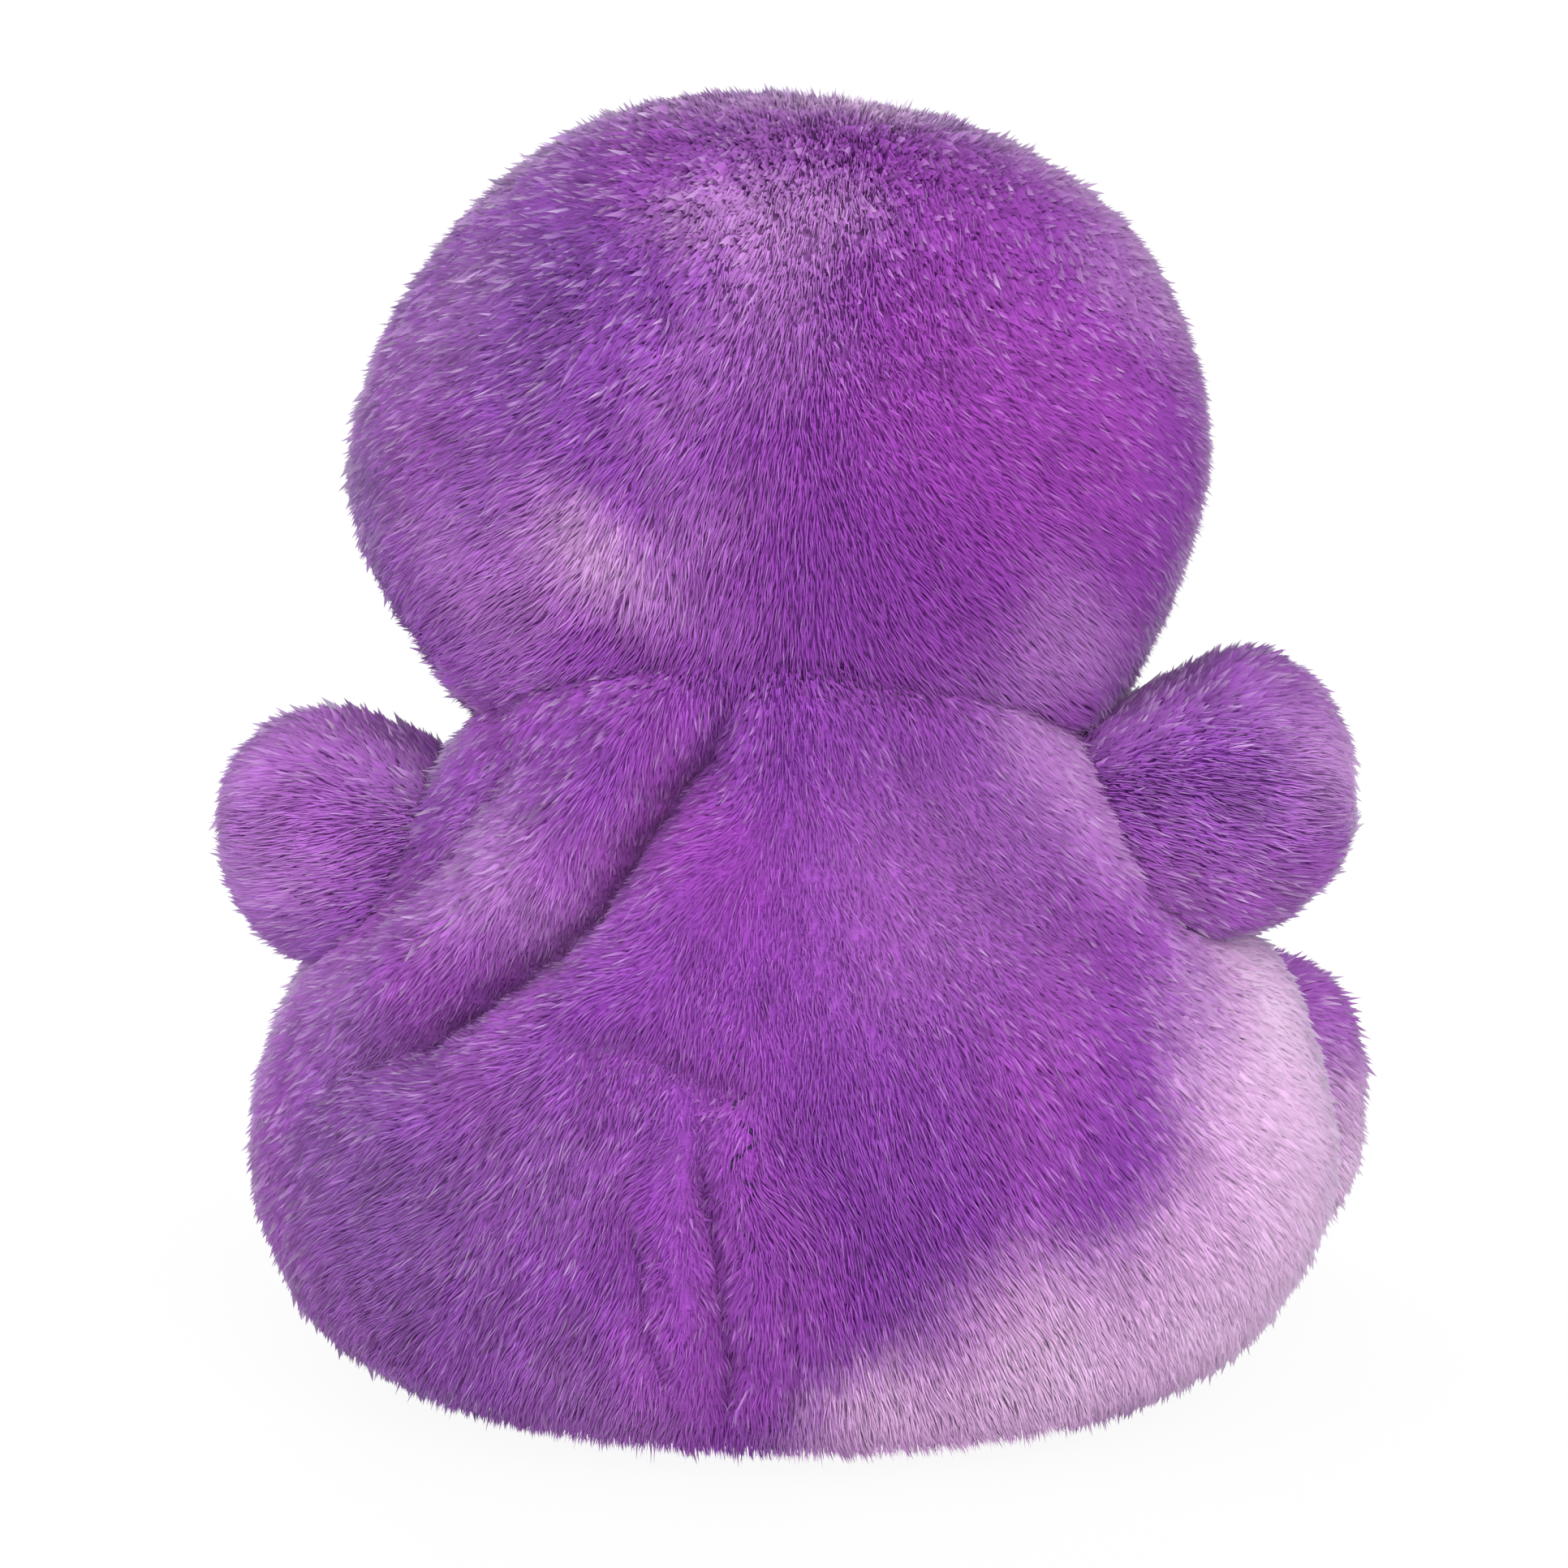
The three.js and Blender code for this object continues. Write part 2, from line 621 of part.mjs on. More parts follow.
/** A solid of turning about local +Z, from pairs of radius and height, placed by a frame. */
function turned(pairs, sides, frame) {
  const profile = pairs.map(([radius, height]) => new THREE.Vector2(radius, height));
  const geometry = new THREE.LatheGeometry(profile, sides);
  geometry.rotateX(Math.PI / 2);
  return solid(geometry, frame);
}

const eyeSeat = 2 * CLEARANCE + PATCH; // the button's back, over the ring round it

/** The eye button: a dome on a thin rim, with a shank to the rear. */
function eyeButton(frame) {
  const shankEnd = eyeSeat - SHANK_LENGTH;
  const pairs = [[0, shankEnd], [SHANK_RADIUS, shankEnd], [SHANK_RADIUS, eyeSeat]];
  const domeSteps = 5;
  for (let step = 0; step <= domeSteps; step += 1) {
    const angle = Math.PI / 2 * step / domeSteps;
    pairs.push([EYE_RADIUS * Math.cos(angle), eyeSeat + EYE_RIM + (EYE_HEIGHT - EYE_RIM) * Math.sin(angle)]);
  }
  pairs.splice(3, 0, [EYE_RADIUS, eyeSeat]);
  pairs[pairs.length - 1][0] = 0;
  return turned(pairs, EYE_SIDES, frame);
}

/** A plain disc or bore about an eye's line, between two heights over the face. */
function eyeDisc(radius, low, high, frame) {
  return turned([[0, low], [radius, low], [radius, high], [0, high]], EYE_SIDES, frame);
}

/** The pieces of one eye: button, washer, ring, and the room that they take. */
function eye(side) {
  const frame = faceFrame(side * EYE_SIDE, EYE_RISE);
  const washerTop = -CLOTH - 2 * CLEARANCE;
  const washerLow = washerTop - WASHER_WIDTH;
  const bore = SHANK_RADIUS + CLEARANCE;
  const shankBore = eyeDisc(bore, -SHANK_LENGTH, FAR, frame);
  const ring = flowerShape(EYE_RING_RADIUS, EYE_RING_LOBE, EYE_RING_PETALS, bore);
  return {
    button: eyeButton(frame),
    washer: eyeDisc(WASHER_RADIUS, washerLow, washerTop, frame).subtract(shankBore),
    ring: facePatch([ring], frame),
    room: shankBore.add(eyeDisc(WASHER_RADIUS + CLEARANCE, -FAR, washerTop + CLEARANCE, frame)),
    pocket: eyeDisc(WASHER_RADIUS + CLEARANCE, washerLow - CLEARANCE, 0, frame).add(
      eyeDisc(bore, eyeSeat - SHANK_LENGTH - CLEARANCE, 0, frame),
    ),
  };
}

const leftEye = eye(1);
const rightEye = eye(-1);
const headCloth = headForm(0).subtract(headForm(CLOTH)).subtract(neckOpening);
const faceFront = slab('y', -FAR, headMiddle.y - FACE_SEAM - halfGap);
const headRear = slab('y', headMiddle.y - FACE_SEAM + halfGap, FAR);
const headLeft = new THREE.Vector3().setFromMatrixColumn(headPlace, 0);
const leftOfCrown = beyond(headMiddle.clone().addScaledVector(headLeft, halfGap), headLeft);
const headRight = headLeft.clone().negate();
const rightOfCrown = beyond(headMiddle.clone().addScaledVector(headRight, halfGap), headRight);
const facePanel = headCloth.intersect(faceFront).subtract(leftEye.room).subtract(rightEye.room);
const headFilling = headForm(CLOTH + CLEARANCE).subtract(leftEye.pocket).subtract(rightEye.pocket);

// Limbs

/** A turn about a line through a point. */
function turnAbout(point, axis, degrees) {
  const turn = new THREE.Matrix4().makeRotationAxis(axis, radians(degrees));
  const there = new THREE.Matrix4().setPosition(point);
  const back = new THREE.Matrix4().setPosition(point.clone().negate());
  return there.multiply(turn).multiply(back);
}

/** All that the torso takes up, seen from a limb that is raised about its hinge, and grown. */
function torsoReach(hinge, raiseAxis, raises, growth) {
  const torso = geometryOf(torsoForm(-CLEARANCE - growth));
  return raises
    .map((raise) => solid(torso, turnAbout(hinge, raiseAxis, -raise)))
    .reduce((reach, one) => reach.add(one));
}

/** All that the head reaches as it nods and turns, seen from an arm that is raised, and grown. */
function headReach(hinge, raiseAxis, growth) {
  const nodAxis = new THREE.Vector3(1, 0, 0);
  const plain = egg(headSize(INNER_SIDES, INNER_RINGS), -ARM_HEAD_ROOM - growth);
  let reach = null;
  for (const raise of [0, ARM_RAISE]) {
    for (const nod of [-NOD_RANGE, 0, NOD_RANGE]) {
      for (const turn of [-TURN_RANGE, 0, TURN_RANGE]) {
        const place = turnAbout(hinge, raiseAxis, -raise)
          .multiply(turnAbout(neckPivot, nodAxis, nod))
          .multiply(turnAbout(neckPivot, neckLine, turn))
          .multiply(headPlace);
        const one = solid(plain, place);
        reach = reach ? reach.add(one) : one;
      }
    }
  }
  return reach;
}

/** The pieces of an arm on one side (1 is left), and the point on the shoulder seam it swings about. */
function arm(side, height, lift) {
  const mirror = new THREE.Vector3(side, 1, 1);
  const seam = torsoPoint(height, 0).multiply(mirror);
  const facing = torsoNormal(height, 0).multiply(mirror);
  const hinge = seam.clone().addScaledVector(facing, CLEARANCE);
  const depthwise = new THREE.Vector3(0, 1, 0);
  const raiseAxis = new THREE.Vector3(0, -side, 0);
  const along = new THREE.Vector3(side, 0, 0).applyAxisAngle(raiseAxis, radians(lift));
  const out = (ARM_SPAN - Math.abs(seam.x)) / Math.abs(along.x) - ARM_HALF_LENGTH;
  const middle = seam.clone().addScaledVector(along, out);
  const size = {
    halfWidth: ARM_HALF_HEIGHT,
    front: ARM_HALF_DEPTH,
    back: ARM_HALF_DEPTH,
    halfLength: ARM_HALF_LENGTH,
    taper: ARM_TAPER,
    roundness: ARM_ROUNDNESS,
    sides: SMALL_SIDES,
    rings: SMALL_RINGS,
  };
  const place = new THREE.Matrix4()
    .makeBasis(depthwise.clone().cross(along), depthwise, along)
    .setPosition(middle);
  const form = (inset) => solid(egg(size, inset), place)
    .subtract(torsoReach(hinge, raiseAxis, [-ARM_LOWER - SWING_ROOM, 0, ARM_RAISE + SWING_ROOM], inset))
    .subtract(headReach(hinge, raiseAxis, inset));
  const cloth = form(0).subtract(form(CLOTH));
  return {
    hinge,
    front: cloth.intersect(slab('y', -FAR, seam.y - halfGap)),
    back: cloth.intersect(slab('y', seam.y + halfGap, FAR)),
    filling: form(CLOTH + CLEARANCE),
  };
}

/** The pieces of a leg on one side (1 is left), and the point on the hip seam it swings about. */
function leg(side) {
  const mirror = new THREE.Vector3(side, 1, 1);
  const seam = torsoPoint(LEG_HEIGHT, HIP_ANGLE).multiply(mirror);
  const facing = torsoNormal(LEG_HEIGHT, HIP_ANGLE).multiply(mirror);
  const hinge = seam.clone().addScaledVector(facing, CLEARANCE);
  const raiseAxis = new THREE.Vector3().crossVectors(facing, UP).normalize();
  const splay = radians(LEG_SPLAY);
  const ahead = new THREE.Vector3(side * Math.sin(splay), -Math.cos(splay), 0);
  const across = new THREE.Vector3().crossVectors(UP, ahead);
  const round = { roundness: LEG_ROUNDNESS, sides: SMALL_SIDES, rings: SMALL_RINGS };
  const stubSize = {
    ...round,
    halfWidth: STUB_HALF_WIDTH,
    front: STUB_HALF_HEIGHT,
    back: STUB_HALF_HEIGHT,
    halfLength: STUB_HALF_LENGTH,
    taper: 0,
  };
  const footSize = {
    ...round,
    halfWidth: FOOT_HALF_WIDTH,
    front: FOOT_HALF_LENGTH,
    back: FOOT_HALF_LENGTH,
    halfLength: FOOT_HALF_HEIGHT,
    taper: FOOT_TAPER,
  };
  const footMiddle = seam.clone().addScaledVector(ahead, LEG_REACH).setZ(FOOT_LIFT + FOOT_HALF_HEIGHT);
  const stubMiddle = seam.clone().setZ(FOOT_LIFT + STUB_LIFT + STUB_HALF_HEIGHT);
  const stubPlace = new THREE.Matrix4().makeBasis(across, ahead.clone().cross(across), ahead);
  stubPlace.setPosition(stubMiddle);
  const footPlace = new THREE.Matrix4().makeBasis(across, ahead.clone().negate(), UP);
  footPlace.setPosition(footMiddle);
  const form = (inset) => solid(egg(stubSize, inset), stubPlace)
    .add(solid(egg(footSize, inset), footPlace))
    .subtract(torsoReach(hinge, raiseAxis, [0, LEG_RAISE + SWING_ROOM], inset));
  const cloth = form(0).subtract(form(CLOTH));
  const soleStart = footMiddle.clone().addScaledVector(ahead, SOLE_FROM);
  const toe = beyond(soleStart.clone().addScaledVector(ahead, halfGap), ahead);
  const heel = beyond(soleStart.clone().addScaledVector(ahead, -halfGap), ahead.clone().negate());
  const outward = across.clone().multiplyScalar(side);
  const outer = beyond(footMiddle.clone().addScaledVector(outward, halfGap), outward);
  const inner = beyond(footMiddle.clone().addScaledVector(outward, -halfGap), outward.clone().negate());
  return {
    hinge,
    sole: cloth.intersect(toe),
    outer: cloth.intersect(heel).intersect(outer),
    inner: cloth.intersect(heel).intersect(inner),
    filling: form(CLOTH + CLEARANCE),
  };
}

// Materials

const finish = (color, roughness, metalness = 0) => ({ color, roughness, metalness });
const PURPLE_PLUSH = finish('#7d46a0', 0.95);
const LILAC_PLUSH = finish('#9a66b4', 0.95);
const PALE_PLUSH = finish('#efe6dc', 0.95);
const FIBRE = finish('#f4f1ec', 1);
const BAG_COTTON = finish('#d9d4c8', 0.9);
const PELLET = finish('#e8e8e4', 0.5);
const EYE_BLACK = finish('#141218', 0.15);
const WASHER_WHITE = finish('#e4e4e0', 0.5);
const THREAD_PURPLE = finish('#5c3a86', 0.8);
const PATCH_MAGENTA = finish('#b23a8e', 0.8);
const PATCH_TEAL = finish('#2f8f96', 0.8);

// The toy, as groups that turn about their seams

const toy = new THREE.Group();

/** A group whose origin is the point that it turns about. */
function seamGroup(parent, pivot, parentPivot) {
  const group = new THREE.Group();
  group.position.copy(pivot).sub(parentPivot);
  parent.add(group);
  return group;
}

/** Adds a piece, worked out in the toy's own frame, to a group that turns about a pivot. */
function add(group, pivot, name, piece, look) {
  const geometry = piece.isBufferGeometry ? piece : geometryOf(piece);
  geometry.translate(-pivot.x, -pivot.y, -pivot.z);
  const mesh = new THREE.Mesh(geometry, new THREE.MeshStandardMaterial(look));
  mesh.name = name;
  group.add(mesh);
}

const origin = new THREE.Vector3();
const neck = seamGroup(toy, neckPivot, origin);
const head = seamGroup(neck, neckPivot, neckPivot);

const torsoRear = torsoCloth.intersect(backHalf).intersect(overSeat);
add(toy, origin, 'body_back_left', torsoRear.intersect(leftHalf), PURPLE_PLUSH);
add(toy, origin, 'body_back_right', torsoRear.intersect(rightHalf), PURPLE_PLUSH);
add(toy, origin, 'belly_panel', torsoCloth.intersect(frontHalf).intersect(overSeat), PURPLE_PLUSH);
add(toy, origin, 'seat_panel', torsoCloth.intersect(seatBand), PURPLE_PLUSH);
add(toy, origin, 'body_filling', torsoFilling, FIBRE);
add(toy, origin, 'pellet_bag', bag, BAG_COTTON);
add(toy, origin, 'pellets', pellets, PELLET);
add(toy, origin, 'closing_thread', closingThread(), THREAD_PURPLE);

add(neck, neckPivot, 'neck_seam', neckSeam(), LILAC_PLUSH);

add(head, neckPivot, 'head_back_left', headCloth.intersect(headRear).intersect(leftOfCrown), LILAC_PLUSH);
add(head, neckPivot, 'head_back_right', headCloth.intersect(headRear).intersect(rightOfCrown), LILAC_PLUSH);
add(head, neckPivot, 'face_panel', facePanel, PALE_PLUSH);
add(head, neckPivot, 'head_filling', headFilling, FIBRE);
for (const [name, pieces] of [['left', leftEye], ['right', rightEye]]) {
  add(head, neckPivot, `eye_${name}`, pieces.button, EYE_BLACK);
  add(head, neckPivot, `eye_washer_${name}`, pieces.washer, WASHER_WHITE);
  add(head, neckPivot, `eye_flower_${name}`, pieces.ring, PATCH_TEAL);
}
const nose = facePatch([noseShape(NOSE_SIZE)], faceFrame(0, -NOSE_DROP));
const mouth = facePatch(mouthShapes(), faceFrame(0, -MOUTH_DROP));
const flower = flowerShape(FLOWER_RADIUS, FLOWER_LOBE, FLOWER_PETALS, 0);
add(head, neckPivot, 'nose_patch', nose, THREAD_PURPLE);
add(head, neckPivot, 'mouth_stitching', mouth, THREAD_PURPLE);
add(head, neckPivot, 'forehead_flower', facePatch([flower], faceFrame(0, FOREHEAD_RISE)), PATCH_MAGENTA);

const arms = {
  left: arm(1, ARM_LEFT_HEIGHT, ARM_LIFT_LEFT),
  right: arm(-1, ARM_RIGHT_HEIGHT, ARM_LIFT_RIGHT),
};
for (const [name, pieces] of Object.entries(arms)) {
  const group = seamGroup(toy, pieces.hinge, origin);
  add(group, pieces.hinge, `arm_${name}_front`, pieces.front, PURPLE_PLUSH);
  add(group, pieces.hinge, `arm_${name}_back`, pieces.back, PURPLE_PLUSH);
  add(group, pieces.hinge, `arm_${name}_filling`, pieces.filling, FIBRE);
}

const legs = { left: leg(1), right: leg(-1) };
for (const [name, pieces] of Object.entries(legs)) {
  const group = seamGroup(toy, pieces.hinge, origin);
  add(group, pieces.hinge, `leg_${name}_outer`, pieces.outer, PURPLE_PLUSH);
  add(group, pieces.hinge, `leg_${name}_inner`, pieces.inner, PURPLE_PLUSH);
  add(group, pieces.hinge, `sole_${name}`, pieces.sole, PALE_PLUSH);
  add(group, pieces.hinge, `leg_${name}_filling`, pieces.filling, FIBRE);
}

export default toy;
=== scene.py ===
# %% [markdown]
# A palm-size plush sugar skull, dressed for its photograph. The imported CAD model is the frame: it
# holds the true places of every panel, button and seam. This script gives the toy its cloth, its
# long marbled fur, its short-piled face and its soft filling, and sets up the camera and the light.

# %% Load the frame
import bpy
import numpy as np
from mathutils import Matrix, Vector


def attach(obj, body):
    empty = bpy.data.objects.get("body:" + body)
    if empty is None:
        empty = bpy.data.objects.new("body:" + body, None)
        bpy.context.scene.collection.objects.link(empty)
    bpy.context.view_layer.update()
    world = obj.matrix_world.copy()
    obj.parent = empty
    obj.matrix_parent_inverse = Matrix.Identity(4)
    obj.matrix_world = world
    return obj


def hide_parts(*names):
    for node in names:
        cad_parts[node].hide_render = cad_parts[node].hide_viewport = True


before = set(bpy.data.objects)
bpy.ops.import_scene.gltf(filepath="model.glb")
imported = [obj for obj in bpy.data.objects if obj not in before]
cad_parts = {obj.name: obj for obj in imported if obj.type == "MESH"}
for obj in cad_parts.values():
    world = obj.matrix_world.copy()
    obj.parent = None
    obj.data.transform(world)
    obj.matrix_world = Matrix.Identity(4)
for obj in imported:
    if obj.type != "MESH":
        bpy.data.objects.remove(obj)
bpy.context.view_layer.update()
MM = 0.001

# %% [markdown]
# The camera comes first, because the fur is judged from where the photographer stood. That was
# behind the toy, a little to its right and about 15 degrees above it, with a long lens. Blender's
# camera looks along its own -Z, so it is turned to track a point just under the toy's middle.

# %% Camera
PHOTO_SIDE = 1932  # pixels
MM_PER_PIXEL = 0.0785 * MM  # at the toy's middle
CAMERA_DISTANCE = 700 * MM
CAMERA_AZIMUTH = np.radians(185.5)  # 0 looks at the face
CAMERA_ELEVATION = np.radians(15)
AIM = Vector((0.4, 0.3, 58.5)) * MM

towards_camera = Vector((
    np.sin(CAMERA_AZIMUTH) * np.cos(CAMERA_ELEVATION),
    -np.cos(CAMERA_AZIMUTH) * np.cos(CAMERA_ELEVATION),
    np.sin(CAMERA_ELEVATION),
))
lens = bpy.data.cameras.new("camera")
lens.lens = lens.sensor_width * CAMERA_DISTANCE / (PHOTO_SIDE * MM_PER_PIXEL)
lens.clip_end = 20
camera = bpy.data.objects.new("camera", lens)
camera.location = AIM + towards_camera * CAMERA_DISTANCE
camera.rotation_euler = (-towards_camera).to_track_quat("-Z", "Y").to_euler()
bpy.context.scene.collection.objects.link(camera)
bpy.context.scene.camera = camera
bpy.context.scene.view_settings.view_transform = "Standard"
print("lens", round(lens.lens, 1), "mm")

# %% [markdown]
# A finish is a tree of nodes. Each node and link could be written out on its own line, but shader
# maths reads best as sums. So a Value wraps one socket, and each operator on it adds one Math node:
# a mask can be written as 1 - noise. A Look is a material in the making: its add method takes any
# other node's type, its settings and the values or links of its sockets.

# %% Shader helpers
def linear(hex_colour):
    """A colour written as #rrggbb, in the linear numbers that shaders use."""
    srgb = np.array([int(hex_colour[i:i + 2], 16) for i in (1, 3, 5)]) / 255
    return np.where(srgb <= 0.04045, srgb / 12.92, ((srgb + 0.055) / 1.055) ** 2.4)


class Value:
    """A socket that can stand in a sum."""

    def __init__(self, nodes, socket):
        self.nodes = nodes
        self.socket = socket

    def math(self, operation, *others):
        """One Math node on this value and others."""
        values = dict(enumerate((self, *others)))
        return self.nodes.add("ShaderNodeMath", {"operation": operation}, values)

    def reflected(self, operation, other):
        """The same with the other value first."""
        return self.nodes.add("ShaderNodeMath", {"operation": operation}, {0: other, 1: self})

    def __add__(self, other):
        return self.math("ADD", other)

    __radd__ = __add__

    def __sub__(self, other):
        return self.math("SUBTRACT", other)

    def __rsub__(self, other):
        return self.reflected("SUBTRACT", other)

    def __mul__(self, other):
        return self.math("MULTIPLY", other)

    __rmul__ = __mul__


class Nodes:
    """A node tree to which one call adds one node."""

    def __init__(self, tree):
        self.tree = tree

    def put(self, socket, value):
        """Links a Value to a socket, or sets the socket to a number or colour."""
        if isinstance(value, Value):
            self.tree.links.new(value.socket, socket)
        elif np.ndim(value) == 1 and socket.type == "RGBA":
            socket.default_value = (*value, 1)
        else:
            socket.default_value = value

    def add(self, kind, settings=None, values=None, output=0):
        """One node of a kind: its settings first, then its sockets. Gives one of its outputs."""
        node = self.tree.nodes.new(kind)
        for name, setting in (settings or {}).items():
            setattr(node, name, setting)
        for socket, value in (values or {}).items():
            self.put(node.inputs[socket], value)
        return Value(self, node.outputs[output])


class Look(Nodes):
    """A material whose Principled shader takes plain numbers, colours or Values."""

    def __init__(self, name, **constants):
        self.material = bpy.data.materials.new(name)
        self.material.use_nodes = True
        super().__init__(self.material.node_tree)
        self.shader = self.tree.nodes["Principled BSDF"]
        for socket, value in constants.items():
            self.put(self.shader.inputs[socket.replace("_", " ").title()], value)

    def place(self):
        """Object coordinates, in metres."""
        return self.add("ShaderNodeTexCoord", output="Object")

    def mix(self, mask, first, second):
        """A colour between two, by a mask from 0 to 1."""
        settings = {"data_type": "RGBA"}
        return self.add("ShaderNodeMix", settings, {0: mask, 6: first, 7: second}, 2)

    def noise(self, size, detail=2.0, distortion=0.0):
        """Noise whose lumps are about one size across, in metres."""
        values = {"Vector": self.place(), "Scale": 1 / size, "Detail": detail, "Distortion": distortion}
        return self.add("ShaderNodeTexNoise", values=values)

    def bands(self, pitch, direction, distortion=0.0):
        """Soft bands across an axis such as X, one pitch apart."""
        settings = {"wave_type": "BANDS", "bands_direction": direction}
        values = {"Vector": self.place(), "Scale": np.pi / (10 * pitch), "Distortion": distortion}
        return self.add("ShaderNodeTexWave", settings, values)

    def colour(self, value):
        """Feeds the base colour."""
        self.put(self.shader.inputs["Base Color"], value)

    def roughness(self, value):
        """Feeds the roughness."""
        self.put(self.shader.inputs["Roughness"], value)

    def bump(self, height, depth):
        """Raises the surface by a height from 0 to 1 times a depth in metres."""
        normal = self.add("ShaderNodeBump", values={"Height": height, "Distance": depth, "Strength": 1.0})
        self.put(self.shader.inputs["Normal"], normal)


print("a middle purple in linear numbers", linear("#80359c").round(3).tolist())

# %% [markdown]
# Fur, dye and folds all need noise that is the same on every run. Blender's textures could give it
# point by point, but plane waves work on whole arrays at once. The noise is a sum of waves of about
# one length, each with its own direction and phase. Seen together they never repeat.

# %% Smooth noise
def waves(points, size, seed, count=9):
    """Noise of about -1 to 1: many sines of the points' places along random directions."""
    draw = np.random.default_rng(seed)
    directions = draw.normal(size=(3, count))
    directions /= np.linalg.norm(directions, axis=0)
    lengths = size * draw.uniform(0.7, 1.4, count)
    phases = draw.uniform(0, 2 * np.pi, count)
    return np.sin(points @ (directions * 2 * np.pi / lengths) + phases).sum(1) * np.sqrt(2 / count) / 1.5


def unit(vectors):
    """Each row at length 1."""
    return vectors / np.maximum(np.linalg.norm(vectors, axis=-1, keepdims=True), 1e-12)


def smooth(values, low, high):
    """0 below low, 1 above high, and an S curve between."""
    share = np.clip((values - low) / (high - low), 0, 1)
    return share * share * (3 - 2 * share)


sample = waves(np.linspace(0, 1, 3000).reshape(-1, 3), 0.05, 0)
print("noise runs from", sample.min().round(2), "to", sample.max().round(2))

# %% [markdown]
# A toy's head or limb is a bag blown up by its filling. It could be sculpted, or inflated as cloth,
# but the fur, the folds and the filling all have to follow it. So a form is one question: how far is
# a point from its surface, with inside as less than zero? An egg that tapers answers it for the head
# and the limbs. Two such answers blend into one form where a foot grows out of a leg.

# %% Stuffed forms
class Egg:
    """A superellipsoid along its own Z that tapers: |x/a|^r + |y/b|^r + |z/c|^r = 1."""

    def __init__(self, middle, axes, half_width, front, back, half_length, taper, roundness):
        self.middle = np.array(middle)
        self.axes = np.array(axes)  # rows are the local X, Y and Z
        self.sizes = (half_width, front, back, half_length)
        self.taper = taper
        self.roundness = roundness

    def depth(self, points):
        """How far points lie outside the egg, in metres."""
        half_width, front, back, half_length = self.sizes
        x, y, z = ((points - self.middle) @ self.axes.T).T
        share = z / half_length
        girth = np.maximum(1 + self.taper * share, 0.2)
        side = np.abs(x) / (half_width * girth)
        along = np.abs(y) / (np.where(y > 0, back, front) * girth)
        reach = side ** self.roundness + along ** self.roundness + np.abs(share) ** self.roundness
        scale = np.linalg.norm(np.stack([x, y, z]), axis=0) + 1e-9
        level = reach ** (1 / self.roundness)
        return scale * (1 - 1 / np.maximum(level, 0.05))


def joined(first, second, softness):
    """The depth of two forms blended together, with a fillet of about one softness."""
    share = np.clip(0.5 + 0.5 * (second - first) / softness, 0, 1)
    return second + (first - second) * share - softness * share * (1 - share)


def turned_y(degrees):
    """Axes turned about Y, as rows."""
    angle = np.radians(degrees)
    return [[np.cos(angle), 0, -np.sin(angle)], [0, 1, 0], [np.sin(angle), 0, np.cos(angle)]]


ball = Egg((0, 0, 0), turned_y(0), 1, 1, 1, 1, 0, 2)
print("two radii out, a ball's depth is", ball.depth(np.array([[2.0, 0, 0]])).round(3))

# %% [markdown]
# The torso is a pear sewn from four panels over a bean bag. It isn't a turned shape, since it is
# wider than deep and hunched. The CAD draws it through ten rings, and the same rings are used here,
# so the fur stands where the CAD solid is. Its cloth is loose at the back, where folds are pressed
# into it later.

# %% Torso
TORSO_RINGS = np.array([
    # height, half width, half depth
    (-0.5, 24, 20), (2, 36.5, 29), (7.5, 45.5, 35.5), (16, 50.8, 38.6), (27, 52, 39),
    (41, 47, 36.5), (54, 38.5, 31.5), (66, 31, 27.5), (78, 26, 21), (86, 14, 9),
]) * MM
TORSO_MIDDLE_Y = 7.1 * MM
HUNCH = 7 * MM
HUNCH_FROM = 27 * MM
SEAT_SEAM_HEIGHT = 9 * MM
print("torso", len(TORSO_RINGS), "rings,", round(2 * TORSO_RINGS[:, 1].max() / MM), "mm wide")


def through(heights, column):
    """A torso size at any height, on a curve through the rings: a cubic whose slopes are means."""
    z, size = TORSO_RINGS[:, 0], TORSO_RINGS[:, column]
    slopes = np.gradient(size, z)
    at = np.clip(heights, z[0], z[-1])
    ring = np.clip(np.searchsorted(z, at) - 1, 0, len(z) - 2)
    gap = z[ring + 1] - z[ring]
    t = (at - z[ring]) / gap
    low, high = slopes[ring] * gap, slopes[ring + 1] * gap
    step = size[ring + 1] - size[ring]
    return size[ring] + t * (low + t * (3 * step - 2 * low - high + t * (low + high - 2 * step)))


def torso_middle(heights):
    """The Y of the torso's middle: it leans back towards the top."""
    share = np.maximum(0, (heights - HUNCH_FROM) / (TORSO_RINGS[-1, 0] - HUNCH_FROM))
    return TORSO_MIDDLE_Y + HUNCH * share ** 2


def pear_depth(points):
    """How far points lie outside the pear."""
    x, y, z = points.T
    width, depth = through(z, 1), through(z, 2)
    y = y - torso_middle(z)
    level = np.sqrt((x / width) ** 2 + (y / depth) ** 2)
    outside = np.hypot(x, y) * (1 - 1 / np.maximum(level, 0.05))
    return np.maximum(outside, z - TORSO_RINGS[-1, 0])


# %% [markdown]
# Head, arms and legs are eggs with the CAD's sizes. The head tips a little to its right and sinks
# into the neck. Each arm points out from its shoulder seam. Each leg is a stub that runs into a
# turned-up foot, and the fillet between the two is why they are one form and not two.

# %% Head, arms and legs
HEAD = Egg((0, 1.1 * MM, 89.3 * MM), turned_y(-7), 41 * MM, 32 * MM, 34 * MM, 36.8 * MM, 0.02, 2.15)
FACE_SEAM_Y = HEAD.middle[1] - 11 * MM
ARM_LIFT = np.radians(3)
ARM_TIP_X = 55.3 * MM
ARM_SIZES = (14 * MM, 11.5 * MM, 11.5 * MM, 17 * MM)
ARM_HEIGHTS = {"left": 53.5 * MM, "right": 60 * MM}
SIDES = {"left": 1, "right": -1}


